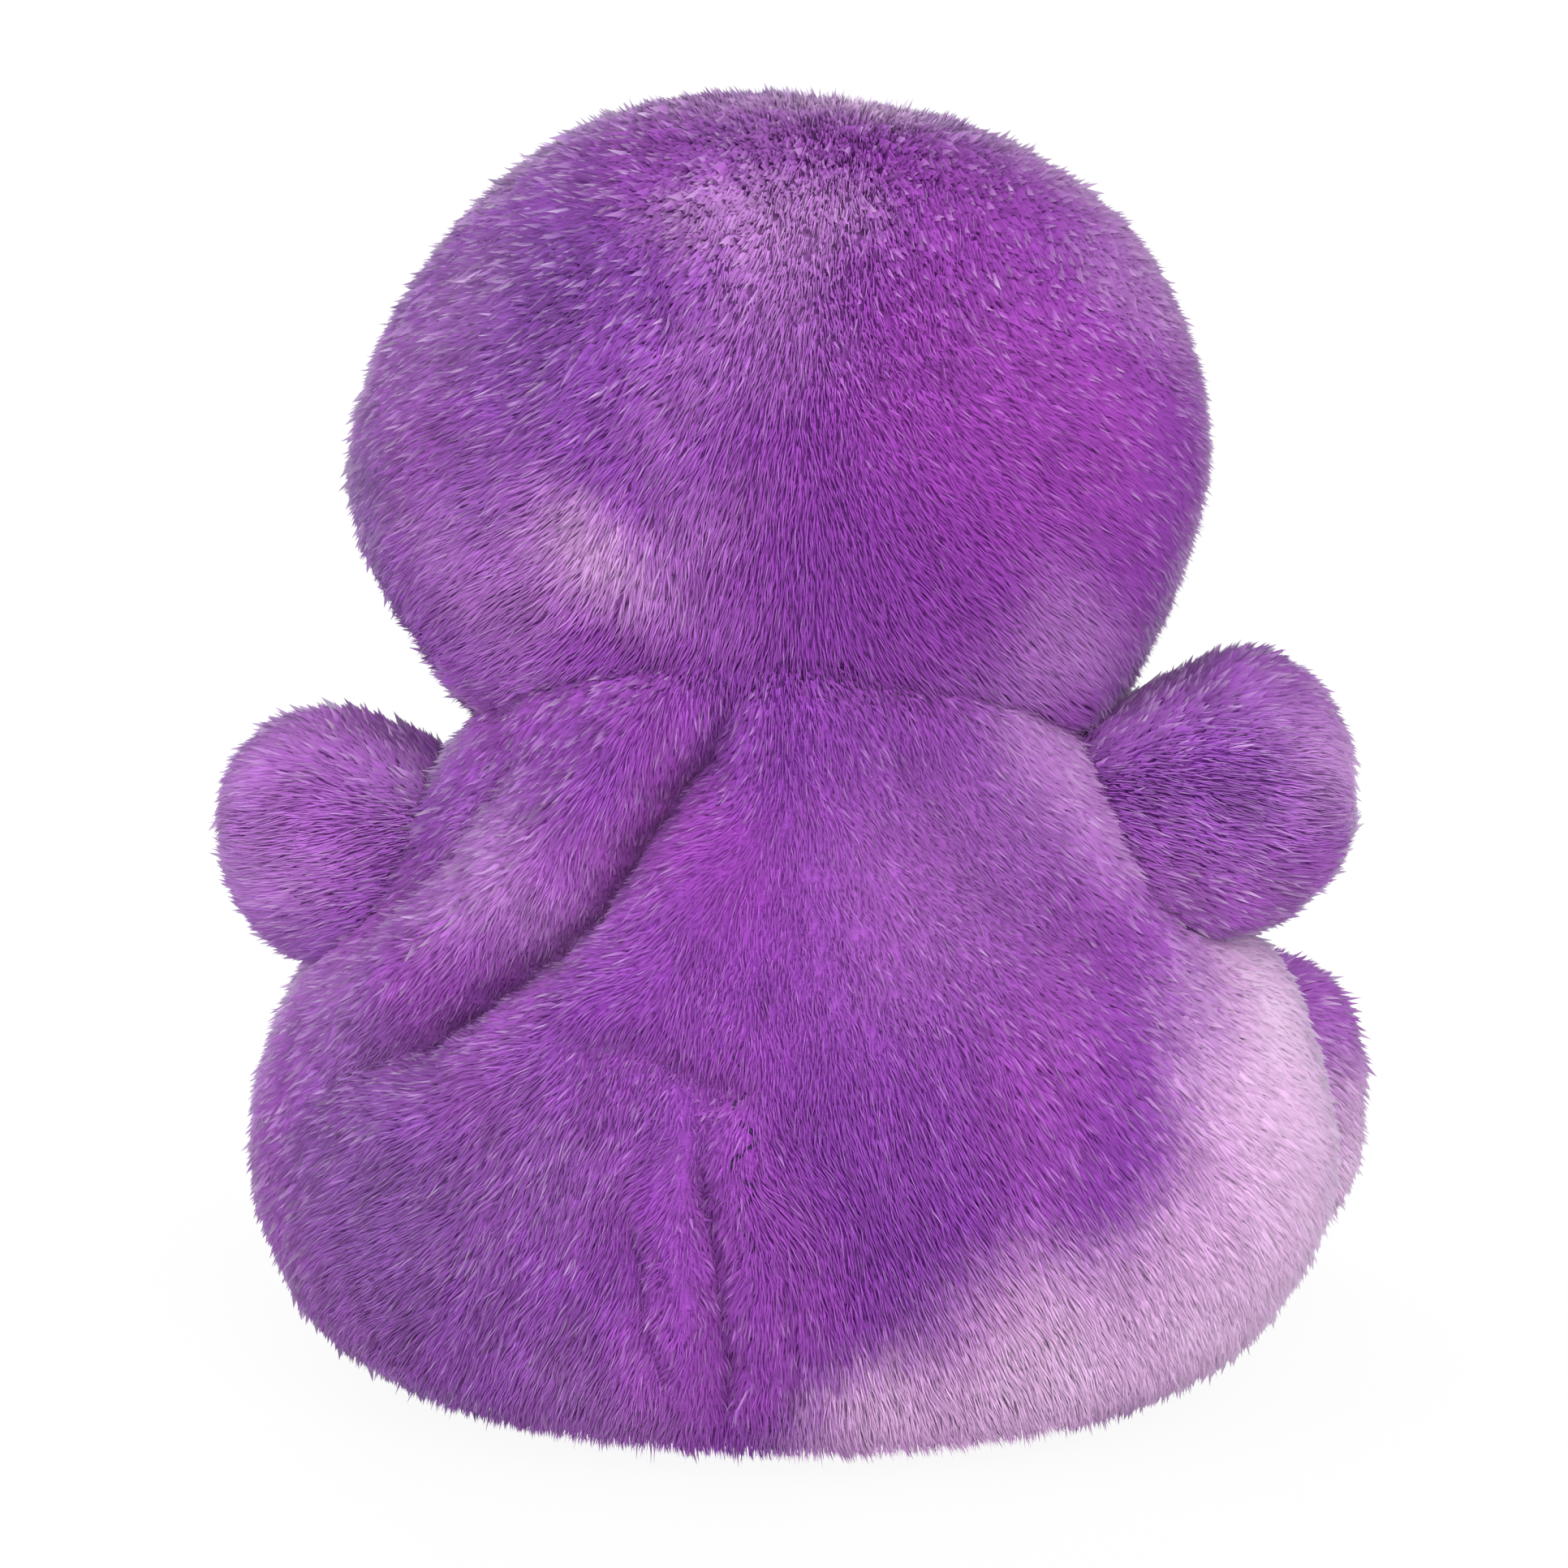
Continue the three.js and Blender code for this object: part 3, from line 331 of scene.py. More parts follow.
def arm_form(name):
    """An arm as an egg from its shoulder to its tip."""
    side = SIDES[name]
    height = np.array([ARM_HEIGHTS[name]])
    seam = np.array([side * through(height, 1)[0], torso_middle(height)[0], height[0]])
    along = np.array([side * np.cos(ARM_LIFT), 0, np.sin(ARM_LIFT)])
    out = (ARM_TIP_X - abs(seam[0])) / abs(along[0]) - ARM_SIZES[3]
    depthwise = np.array([0, 1, 0])
    axes = [np.cross(depthwise, along), depthwise, along]
    return Egg(seam + along * out, axes, *ARM_SIZES, 0.06, 2.4)


LEG_HEIGHT = 14 * MM
HIP_ANGLE = np.radians(46)
LEG_SPLAY = np.radians(31)
LEG_REACH = 16 * MM
STUB_SIZES = (12 * MM, 12 * MM, 12 * MM, 16 * MM)
FOOT_SIZES = (13.6 * MM, 11 * MM, 11 * MM, 16.3 * MM)
SOLE_FROM = 6.5 * MM
UP = np.array([0, 0, 1.0])


class Leg:
    """A stub and a foot, blended into one form."""

    def __init__(self, name):
        side = SIDES[name]
        height = np.array([LEG_HEIGHT])
        seam = np.array([
            side * through(height, 1)[0] * np.cos(HIP_ANGLE),
            torso_middle(height)[0] - through(height, 2)[0] * np.sin(HIP_ANGLE),
            LEG_HEIGHT,
        ])
        self.ahead = np.array([side * np.sin(LEG_SPLAY), -np.cos(LEG_SPLAY), 0])
        across = np.cross(UP, self.ahead)
        self.outward = across * side
        foot = seam + self.ahead * LEG_REACH
        foot[2] = FOOT_SIZES[3] + 0.5 * MM
        stub = np.array([seam[0], seam[1], STUB_SIZES[0] + 2 * MM])
        stub_axes = [across, np.cross(self.ahead, across), self.ahead]
        self.stub = Egg(stub, stub_axes, *STUB_SIZES, 0, 2.2)
        self.foot = Egg(foot, [across, -self.ahead, UP], *FOOT_SIZES, -0.03, 2.2)
        self.middle = (foot + stub) / 2

    def depth(self, points):
        """How far points lie outside the leg."""
        return joined(self.stub.depth(points), self.foot.depth(points), 6 * MM)


ARMS = {name: arm_form(name) for name in SIDES}
LEGS = {name: Leg(name) for name in SIDES}
print("arms at", [(arm.middle / MM).round(1).tolist() for arm in ARMS.values()])

# %% [markdown]
# The bean-bag back isn't full, so its cloth falls into folds. The deepest runs from under the head
# down to the left hip, and leaves a soft roll beside it. Simulated cloth would find folds of its own,
# and not this toy's. So a fold is a line of a few points: the cloth sinks along it and swells beside
# it. Seams are shallow folds, and slack places are round dents.

# %% Folds
TORSO_AXIS = np.array([0, 8, 0]) * MM
FOLD_FADE = (11 * MM, 16 * MM)  # a fold dies out between these heights over or under its line


class Fold:
    """A crease along a line that runs down: the cloth sinks into it and swells on both sides."""

    def __init__(self, points, depth, width, left_swell=0.0, right_swell=0.0, swell_width=1.3, heart=None):
        # Outward is away from the torso's upright axis, or from the heart of a round form
        self.points = np.array(points) * MM
        self.heart = TORSO_AXIS if heart is None else heart
        self.level = np.array([1, 1, 0 if heart is None else 1])
        self.depth = depth * MM
        self.width = width * MM
        self.swells = (left_swell * MM, right_swell * MM)
        self.swell_width = swell_width * self.width

    def near(self, places):
        """The distance from the line along the cloth, over 0 on the toy's left, and the fold's strength."""
        nearest = np.full(len(places), np.inf)
        signed = np.zeros(len(places))
        fade = np.zeros(len(places))
        stretches = len(self.points) - 1
        for i in range(stretches):
            start, run = self.points[i], self.points[i + 1] - self.points[i]
            outward = (start + run / 2 - self.heart) * self.level
            outward = outward / np.linalg.norm(outward)
            level_run = run - (run @ outward) * outward
            away = places - start
            rise = away @ outward
            away = away - rise[:, None] * outward
            share = np.clip(away @ level_run / (level_run @ level_run), 0, 1)
            away = away - share[:, None] * level_run
            rise = rise - share * (run @ outward)
            distance = np.linalg.norm(away, axis=1)
            closer = (distance < nearest) & (np.abs(rise) < FOLD_FADE[1])
            nearest = np.where(closer, distance, nearest)
            signed = np.where(closer, np.sign(away @ np.cross(run, outward)) * distance, signed)
            along = (i + share) / stretches
            ends = smooth(along, 0, 0.25) * (1 - smooth(along, 0.8, 1))
            fade = np.where(closer, ends * (1 - smooth(np.abs(rise), *FOLD_FADE)), fade)
        return signed, fade

    def valley(self, signed, fade):
        """1 in the bottom of the crease: exp(-|distance / width|^1.6)."""
        return fade * np.exp(-np.abs(signed / self.width) ** 1.6)

    def sink(self, places):
        """How far the cloth sinks at places: the valley less a Gaussian swell on each side."""
        signed, fade = self.near(places)
        beside = 1.2 * self.swell_width + self.width
        left = self.swells[0] * np.exp(-((signed - beside) / self.swell_width) ** 2)
        right = self.swells[1] * np.exp(-((signed + beside) / self.swell_width) ** 2)
        return self.depth * self.valley(signed, fade) - fade * (left + right)

    def shade(self, places):
        """How deep in the crease places are, from 0 to 1 for a crease of 4 mm: the share of painted shade
        there.
        """
        return np.clip(self.valley(*self.near(places)) ** 1.5 * self.depth / (4 * MM), 0, 1)


class Dent:
    """A round hollow, or with a negative depth a swelling."""

    def __init__(self, place, radius, depth):
        self.place = np.array(place) * MM
        self.radius = radius * MM
        self.depth = depth * MM

    def sink(self, places):
        """How far the cloth sinks at places: a Gaussian of the distance from the middle."""
        return self.depth * np.exp(-((places - self.place) ** 2).sum(1) / self.radius ** 2)


BACK_FOLDS = [
    # The deep one, from under the head to the left hip, with the roll on its left
    Fold([(-1, 34, 80), (2, 35, 75), (5, 36, 70), (9.4, 37, 65), (13.5, 37, 60), (17, 37, 54.7), (21, 37, 51),
          (25, 36, 48), (29, 35, 45), (34, 33, 41), (40, 29, 37), (47, 23, 33)], 4.4, 2.5, 2.0, 1.2, 1.6),
    # Between the shoulder and the left arm
    Fold([(24, 24, 74), (26, 25, 66), (31, 25, 58), (36, 22, 52), (42, 18, 46)], 1.2, 3.0, 0.4, 0.1),
    # Where the head rests on the back, left and right
    Fold([(31, 16, 68), (27, 21, 71), (24, 23, 74), (20, 25, 76), (15, 28, 79), (10, 30, 80), (6, 32, 81)],
         1.6, 1.6),
    Fold([(-6, 32, 81), (-10, 30, 80), (-15, 26, 78), (-20, 22, 75), (-25, 16, 71), (-30, 8, 69)], 1.4, 1.5),
    # Under the middle of the back
    Fold([(21, 40, 45), (15, 41, 44), (9, 43, 43), (3, 43, 41), (-3, 42, 40)], 1.3, 2.2, 0.3, 0.4),
    # The hand-sewn closing seam, and a tuck beside it
    Fold([(5, 43, 41), (4, 45, 31), (2.5, 46, 23), (1.5, 44, 14), (3, 42, 5)], 1.5, 1.6, 0.6, 0.5),
    Fold([(12, 45, 32), (10, 45, 25), (9.4, 45, 17), (6.5, 44, 9)], 0.9, 1.6, 0.4, 0.3),
    Fold([(-3, 45, 24), (-5, 45, 16), (-4, 43, 8)], 0.7, 1.5, 0.2, 0.2),
    # The slack right of the back
    Fold([(-8, 31, 78), (-14, 33, 71), (-19, 33, 62), (-25, 32, 55), (-34, 28, 49), (-42, 24, 44)],
         1.0, 4.5, 0.2, 0.5),
]
BACK_DENTS = [Dent((-31, 22, 66), 8, -0.8), Dent((-2, 42, 50), 12, -0.9), Dent((30, 30, 58), 8, -0.8),
              Dent((-50, 10, 26), 15, -2.2), Dent((-46, 6, 41), 7, -2.2)]
HEAD_FOLDS = [
    Fold([(-7, 4, 127), (-6, 24, 119), (-4, 34, 105), (-1, 36, 86)], 0.5, 3.5, heart=HEAD.middle),
    Dent((28, 8, 113), 13, 1.7), Dent((-38, 5, 74), 10, 2.2), Dent((-6, 2, 127), 14, 0.6),
    Dent((41, 0, 88), 11, -1.8), Dent((-14, 5, 124), 16, -0.9), Dent((-39, 5, 84), 8, 0.7),
    Dent((31, 6, 74), 7, 1.8), Dent((-32, 5, 112), 9, -0.8),
]
# Each arm is gathered at the top of its seam.
ARM_DENTS = {
    "left": [Dent((28, 9, 68), 9, 7), Dent((51, 8, 44), 9, 2.6), Dent((34, 9, 71), 6, 1.4)],
    "right": [Dent((-29, 9, 74), 9, 5), Dent((-52, 9, 48), 7, 2.0), Dent((-45, 9, 75), 8, -1.7)],
}
LEG_DENTS = {"left": [], "right": [Dent((-54, -34, 32), 9, -1.5)]}
print(len(BACK_FOLDS), "folds and", len(BACK_DENTS), "dents in the back")


def pressed(points, marks):
    """How far folds and dents sink the cloth together."""
    return sum(mark.sink(points) for mark in marks)


def torso_form(points):
    """The pear's depth with its folds and hollows pressed in."""
    return pear_depth(points) + pressed(points, BACK_FOLDS + BACK_DENTS)


def torso_crease(points):
    """How deep in a crease of the torso points are, from 0 to 1, and so how much shade is painted there."""
    return np.max([fold.shade(points) for fold in BACK_FOLDS], axis=0)


def head_form(points):
    """The head's depth with its crown seam and hollows pressed in."""
    return HEAD.depth(points) + pressed(points, HEAD_FOLDS)


def arm_depth(name):
    """An arm's depth with the gathers at its seam."""
    return lambda points: ARMS[name].depth(points) + pressed(points, ARM_DENTS[name])


def leg_depth(name):
    """A leg's depth with its swellings."""
    return lambda points: LEGS[name].depth(points) + pressed(points, LEG_DENTS[name])


# %% [markdown]
# The fur grows on the cloth, so the cloth needs a mesh. Blender could make one from voxels, but its
# rows would wander. Here rays leave a point inside the form, and each looks for the place where the
# depth is zero by halving its span again and again, all rays at once. The rows and columns that come
# of it are even. The pile stands on the cloth, so the cloth is drawn in by the pile's height.

# %% Skins
def band_faces(bands, columns, total):
    """Triangles between rings of points and the rings that follow, counted round past the total."""
    row, column = np.meshgrid(np.arange(bands), np.arange(columns), indexing="ij")
    a = row * columns + column
    b = row * columns + (column + 1) % columns
    c, d = (b + columns) % total, (a + columns) % total
    return np.concatenate([np.stack([a, b, c], -1), np.stack([a, c, d], -1)]).reshape(-1, 3)


def closed_faces(rows, columns):
    """Triangles for rows of points that each close into a ring, with one more point past either end."""
    ring = np.arange(columns)
    after = (ring + 1) % columns
    bottom, top = rows * columns, rows * columns + 1
    last = (rows - 1) * columns
    low = np.stack([np.full_like(ring, bottom), after, ring], -1)
    high = np.stack([np.full_like(ring, top), last + ring, last + after], -1)
    return np.concatenate([band_faces(rows - 1, columns, rows * columns), low, high])


def globe(rows, columns):
    """Points of a sphere of radius 1, in rows from below to above, and then its two poles."""
    polar = np.pi * np.arange(1, rows) / rows
    turn = 2 * np.pi * np.arange(columns) / columns
    polar, turn = np.meshgrid(polar, turn, indexing="ij")
    points = np.stack([np.sin(polar) * np.cos(turn), np.sin(polar) * np.sin(turn), -np.cos(polar)], -1)
    return np.concatenate([points.reshape(-1, 3), [[0, 0, -1], [0, 0, 1]]])


def surface_along(depth, starts, rays, low, high, halvings):
    """How far along each ray a depth turns from inside to outside."""
    low, high = np.full(len(rays), low), np.full(len(rays), high)
    for _ in range(halvings):
        half = (low + high) / 2
        inside = depth(starts + rays * half[:, None]) < 0
        low = np.where(inside, half, low)
        high = np.where(inside, high, half)
    return low


SKIN_REACH = 90 * MM  # further from a form's middle than any of its cloth


class Skin:
    """The closed surface of a form, as points, triangles and the way that each point faces."""

    def __init__(self, depth, middle, rows, columns):
        rays = globe(rows, columns)
        self.points = middle + rays * surface_along(depth, middle, rays, 0.0, SKIN_REACH, 22)[:, None]
        self.triangles = closed_faces(rows - 1, columns)
        self.normals = self.facing()

    def flats(self):
        """Each triangle's normal, as long as twice its area."""
        corners = self.points[self.triangles]
        return np.cross(corners[:, 1] - corners[:, 0], corners[:, 2] - corners[:, 0])

    def facing(self):
        """Each point's normal: the mean of the triangles round it, weighed by area."""
        flats = self.flats()
        total = np.zeros_like(self.points)
        for corner in range(3):
            for axis in range(3):
                total[:, axis] += np.bincount(
                    self.triangles[:, corner], flats[:, axis], minlength=len(self.points))
        return unit(total)

    def area(self):
        """Each triangle's area."""
        return np.linalg.norm(self.flats(), axis=1) / 2

    def scatter(self, per_mm2, seed):
        """Random points at an even density, with the way that the surface faces there."""
        area = self.area()
        draw = np.random.default_rng(seed)
        count = int(area.sum() / MM ** 2 * per_mm2)
        chosen = draw.choice(len(area), count, p=area / area.sum())
        shares = np.sort(draw.uniform(size=(count, 2)), axis=1)
        weights = np.stack([shares[:, 0], shares[:, 1] - shares[:, 0], 1 - shares[:, 1]], 1)
        corners = self.triangles[chosen]
        points = np.einsum("ij,ijk->ik", weights, self.points[corners])
        return points, unit(np.einsum("ij,ijk->ik", weights, self.normals[corners]))


def mesh_object(name, points, triangles, look):
    """A Blender object from whole arrays."""
    mesh = bpy.data.meshes.new(name)
    mesh.vertices.add(len(points))
    mesh.vertices.foreach_set("co", np.ascontiguousarray(points, np.float32).ravel())
    mesh.loops.add(triangles.size)
    mesh.loops.foreach_set("vertex_index", np.ascontiguousarray(triangles, np.int32).ravel())
    mesh.polygons.add(len(triangles))
    mesh.polygons.foreach_set("loop_start", np.arange(0, triangles.size, 3, dtype=np.int32))
    mesh.polygons.foreach_set("use_smooth", np.ones(len(triangles), bool))
    mesh.update()
    mesh.validate()
    mesh.materials.append(look.material)
    piece = bpy.data.objects.new(name, mesh)
    bpy.context.scene.collection.objects.link(piece)
    return piece


PILE = 1.9 * MM  # how high the combed fur stands over its cloth
CLOTH_SINK = 2.3 * MM  # how far inside the toy's outline that cloth lies
FACE_PILE = 1.0 * MM
SEAT_PILE = 0.6 * MM
SEAT_TUCK = 2.6 * MM  # how far the seam at the seat's edge is drawn in


def torso_cloth(points):
    """The torso's cloth, under long pile at the sides and short pile on the seat."""
    tucked = SEAT_TUCK * (1 - smooth(points[:, 2], 0, SEAT_SEAM_HEIGHT))
    return np.maximum(torso_form(points) + CLOTH_SINK + tucked, SEAT_PILE - points[:, 2])


def head_cloth(points):
    """The head's cloth, under long pile behind the face seam and short pile on the face."""
    face = smooth(FACE_SEAM_Y - points[:, 1], -0.8 * MM, 0.8 * MM)
    return head_form(points) + CLOTH_SINK + (FACE_PILE - CLOTH_SINK) * face


def arm_cloth(name):
    """An arm's cloth, under long pile."""
    form = arm_depth(name)
    return lambda points: form(points) + CLOTH_SINK


def before_sole(name, points):
    """How far points lie in front of a sole's seam."""
    leg = LEGS[name]
    return (points - leg.foot.middle) @ leg.ahead - SOLE_FROM


def leg_cloth(name):
    """A leg's cloth, under long pile, and under short pile on its sole."""
    form = leg_depth(name)

    def depth(points):
        sole = smooth(before_sole(name, points), -0.6 * MM, 0.6 * MM)
        return form(points) + CLOTH_SINK + (FACE_PILE - CLOTH_SINK) * sole
    return depth


torso_skin = Skin(torso_cloth, np.array([0, 9, 34]) * MM, 210, 400)
head_skin = Skin(head_cloth, HEAD.middle, 120, 200)
arm_skins = {name: Skin(arm_cloth(name), ARMS[name].middle, 56, 90) for name in SIDES}
leg_skins = {name: Skin(leg_cloth(name), LEGS[name].middle, 66, 100) for name in SIDES}
kinds = {"torso": torso_skin, "head": head_skin, "arm": arm_skins["left"], "leg": leg_skins["left"]}
for label, skin in kinds.items():
    print(label, "skin", round(skin.area().sum() / MM ** 2), "square mm")

# %% [markdown]
# Marbled plush is dyed in the piece: soft clouds of purple, violet and lilac that run into each
# other and stop at the seams. It could be painted, but a dye that is worked out from places needs no
# picture. Each root is given its dye from where it stands: clouds of noise first, and then the named
# patches that the photograph shows, with their edges blurred by noise.

# %% Dye
DUSK = linear("#652b83")
DEEP = linear("#80359c")
MID = linear("#8f3ea5")
# A bright violet for painted light on the back under the head, against the head's shadow.
UNDER_HEAD_LIGHT = linear("#9c49b3")
GREY = linear("#78488f")
MAGENTA = linear("#9433a5")
LILAC = linear("#e4b4e0")
PINK = linear("#b47cc0")
CREAM = linear("#f1e9dd")
SHADED_CREAM = linear("#ede3d5")
BLUSH = linear("#e9b9c2")
# Painted highlight: the pale colour towards which tips, guard hairs and glints are painted.
PAINTED_HIGHLIGHT = linear("#e8cfec")
FULLNESS = 1.35  # strands shade each other, so their own dye is paler than the fur looks

# Each patch is a place in mm, a radius in mm, a colour and a strength.
HEAD_PATCHES = [
    ((-24, 26, 102), 24, MAGENTA, 0.7), ((19, 22, 115), 13, DUSK, 0.9), ((-1, 21, 120), 9, PINK, 0.85),
    ((-1, 30, 110), 7, PINK, 0.3), ((14, 33, 88), 8, LILAC, 0.6), ((-6, -2, 127), 8, LILAC, 0.6),
    ((40, 10, 90), 10, GREY, 1.0), ((24, 29, 97), 13, GREY, 0.3),
    ((29, 16, 109), 8, PINK, 0.35), ((33, 16, 105), 9, GREY, 0.5),
    ((-34, 4, 112), 10, PINK, 0.5), ((-27, 24, 78), 9, PINK, 0.6), ((3, 35, 90), 12, DEEP, 0.3),
    ((27, 24, 84), 9, PINK, 0.4),
    ((3.5, 33, 104), 5, PINK, 0.4), ((3.5, 36, 94), 5, PINK, 0.35), ((3.5, 36, 84), 5, PINK, 0.35),
    ((2, 2, 126), 9, PINK, 0.4),
]
TORSO_PATCHES = [
    ((-46, 14, 38), 14, LILAC, 1.0), ((-49, 14, 22), 16, LILAC, 1.0), ((-28, 38, 11), 14, LILAC, 1.0),
    ((-44, 27, 14), 15, LILAC, 1.0), ((-14, 43, 6), 10, LILAC, 0.9), ((-27, 21, 69), 9, PINK, 0.8),
    ((-35, 19, 61), 7, PINK, 0.8), ((24, 31, 57), 9, PINK, 0.5), ((40, 24, 43), 9, PINK, 0.3),
    ((36, 33, 24), 17, GREY, 0.8), ((18, 42, 36), 10, GREY, 0.5), ((-20, 33, 58), 14, PINK, 0.3),
    # Painted light: the bright violet patch on the back under the head works against the head's shadow.
    ((3, 38, 63), 10, MAGENTA, 0.6), ((-28, 34, 48), 14, MAGENTA, 0.2), ((-4, 41, 52), 18, UNDER_HEAD_LIGHT, 0.3),
    ((3, 46, 22), 9, DEEP, 0.3), ((15, 41, 9), 9, PINK, 0.35), ((28, 37, 10), 9, DEEP, 0.4),
    ((-46, -8, 24), 15, LILAC, 0.9), ((-30, -28, 10), 12, LILAC, 0.6), ((24, -22, 52), 14, PINK, 0.5),
    ((-12, -28, 58), 10, PINK, 0.4), ((6, -36, 26), 13, MAGENTA, 0.8), ((32, -24, 24), 13, DUSK, 0.7),
    ((-24, -26, 40), 12, GREY, 0.5), ((10, -34, 8), 10, PINK, 0.4),
]
LIMB_PATCHES = [
    ((49, 14, 58), 9, PINK, 0.45), ((-53, 10, 66), 9, PINK, 0.9), ((-36, 16, 66), 8, DEEP, 0.7),
    ((33, 14, 62), 7, GREY, 0.6),
    ((-53, -10, 13), 14, LILAC, 1.0), ((-53, -30, 10), 14, LILAC, 1.0), ((50, -16, 20), 9, PINK, 0.4),
]
FACE_PATCHES = [((21, -22, 77), 8, BLUSH, 0.35), ((-23, -22, 73), 8, BLUSH, 0.35)]
MARBLE = (DEEP, MID)
BONE = (SHADED_CREAM, CREAM)


def add_dye(piece, colours):
    """Stores linear colours on a piece's points."""
    layer = piece.data.color_attributes.new("dye", "FLOAT_COLOR", "POINT")
    rgba = np.concatenate([colours, np.ones((len(colours), 1))], 1)
    layer.data.foreach_set("color", rgba.astype(np.float32).ravel())


def dye(points, patches, seed, ground=MARBLE):
    """Linear colours: clouds between two ground colours, then each patch laid over them."""
    warp = np.stack([waves(points, 16 * MM, seed + axis) for axis in range(3)], 1) * 2.2 * MM
    cloud = smooth(waves(points + warp, 26 * MM, seed + 3), -0.9, 0.9)[:, None]
    colours = ground[0] * (1 - cloud) + ground[1] * cloud
    for place, radius, colour, strength in patches:
        away = np.linalg.norm(points + warp - np.array(place) * MM, axis=1) / (radius * MM)
        mask = strength * (1 - smooth(away, 0.2, 1.5))[:, None]
        colours = colours * (1 - mask) + colour * mask
    return 1 - (1 - colours) ** FULLNESS


NECK_HEIGHT = 72 * MM
RIM_WIDTH = 7 * MM
ROLL_PLACE, ROLL_RADIUS = np.array([20, 34, 60]) * MM, 11 * MM  # the roll beside the deep fold


def painted_rim_light(points):
    """Painted rim light: beside the face and along the body's sides the tips are painted paler, as light
    comes through the fur at the outline: exp(-(gap / width)^2).
    """
    seam = np.where(points[:, 2] > NECK_HEIGHT, FACE_SEAM_Y + RIM_WIDTH, TORSO_MIDDLE_Y)
    return np.exp(-(((points[:, 1] - seam) / RIM_WIDTH) ** 2))


def painted_sheen(points):
    """How far tips are painted paler than their dye, as sheen: a little everywhere, more on the back's left
    and its roll, most at the painted rim light.
    """
    left = smooth(points[:, 0], -6 * MM, 26 * MM)
    roll = np.exp(-(((points - ROLL_PLACE) / ROLL_RADIUS) ** 2).sum(1))
    return 0.02 + 0.10 * np.maximum(0.4 * left, roll) + 0.35 * painted_rim_light(points)


patch_lists = {"head": HEAD_PATCHES, "torso": TORSO_PATCHES, "limbs": LIMB_PATCHES, "face": FACE_PATCHES}
print("dye patches", {label: len(patches) for label, patches in patch_lists.items()})

# %% [markdown]
# Shag pile is a dense stand of thin fibres. Blender's own hair would draw them finest, but it isn't a mesh,
# so it can't be exported. So here one strand is a thin blade that rises from the cloth and bends over along
# the nap. Four points make it: a root, a tip and two points on either side of its bend.
# The four triangles between them close it. Almost four hundred thousand such blades make the toy.

# %% Fur
STRAND_WIDTH = 0.105 * MM
WIDE_STRAND = 0.12 * MM  # for the legs and the short pile, where the strands stand further apart
HEIGHT_SHARES = (0.72, 1.0)  # the shortest and the longest strand against the pile's height
HALF_WIDTHS = (0.35, 0.6)  # and each half width against its width
GUARD_SHARE, GUARD_HEIGHT, GUARD_WIDTH = 0.04, 1.15, 0.6  # a few long, thin hairs, with a painted highlight on their tips
SUNK = 0.3 * MM  # how deep the roots sit in the cloth
COVERED, BESIDE = -1 * MM, 2.5 * MM  # gaps to another form: a root is covered, or only beside it
LOW_TURN, HIGH_TURN = 0.55, 1.35  # a strand's lower and upper half lean by these shares of its lean
STEEPEST = np.radians(80)
SCATTER_SEED = 1000  # added to a coat's seed, so its roots and its strands don't share their draws
CLUMPS = ((4.5 * MM, 0.10, 20), (1.5 * MM, 0.05, 30))  # size, strength, and a shift of the seed
SHADE_NOISE = ((2.2 * MM, 0.03, 0.05, 40), (6 * MM, 0.04, 0.08, 50))  # size, calm, tufted and shift
LONG_PAINTED_ROOT_LIGHT = (1.4, 1.12, 1.12, 1.0)  # a long strand's dye at its four points, as shares: painted light, the root paler for light that passes through the fibres
SHORT_FADE = (0.97, 1.0, 1.0, 1.0)
PALEST = 0.95


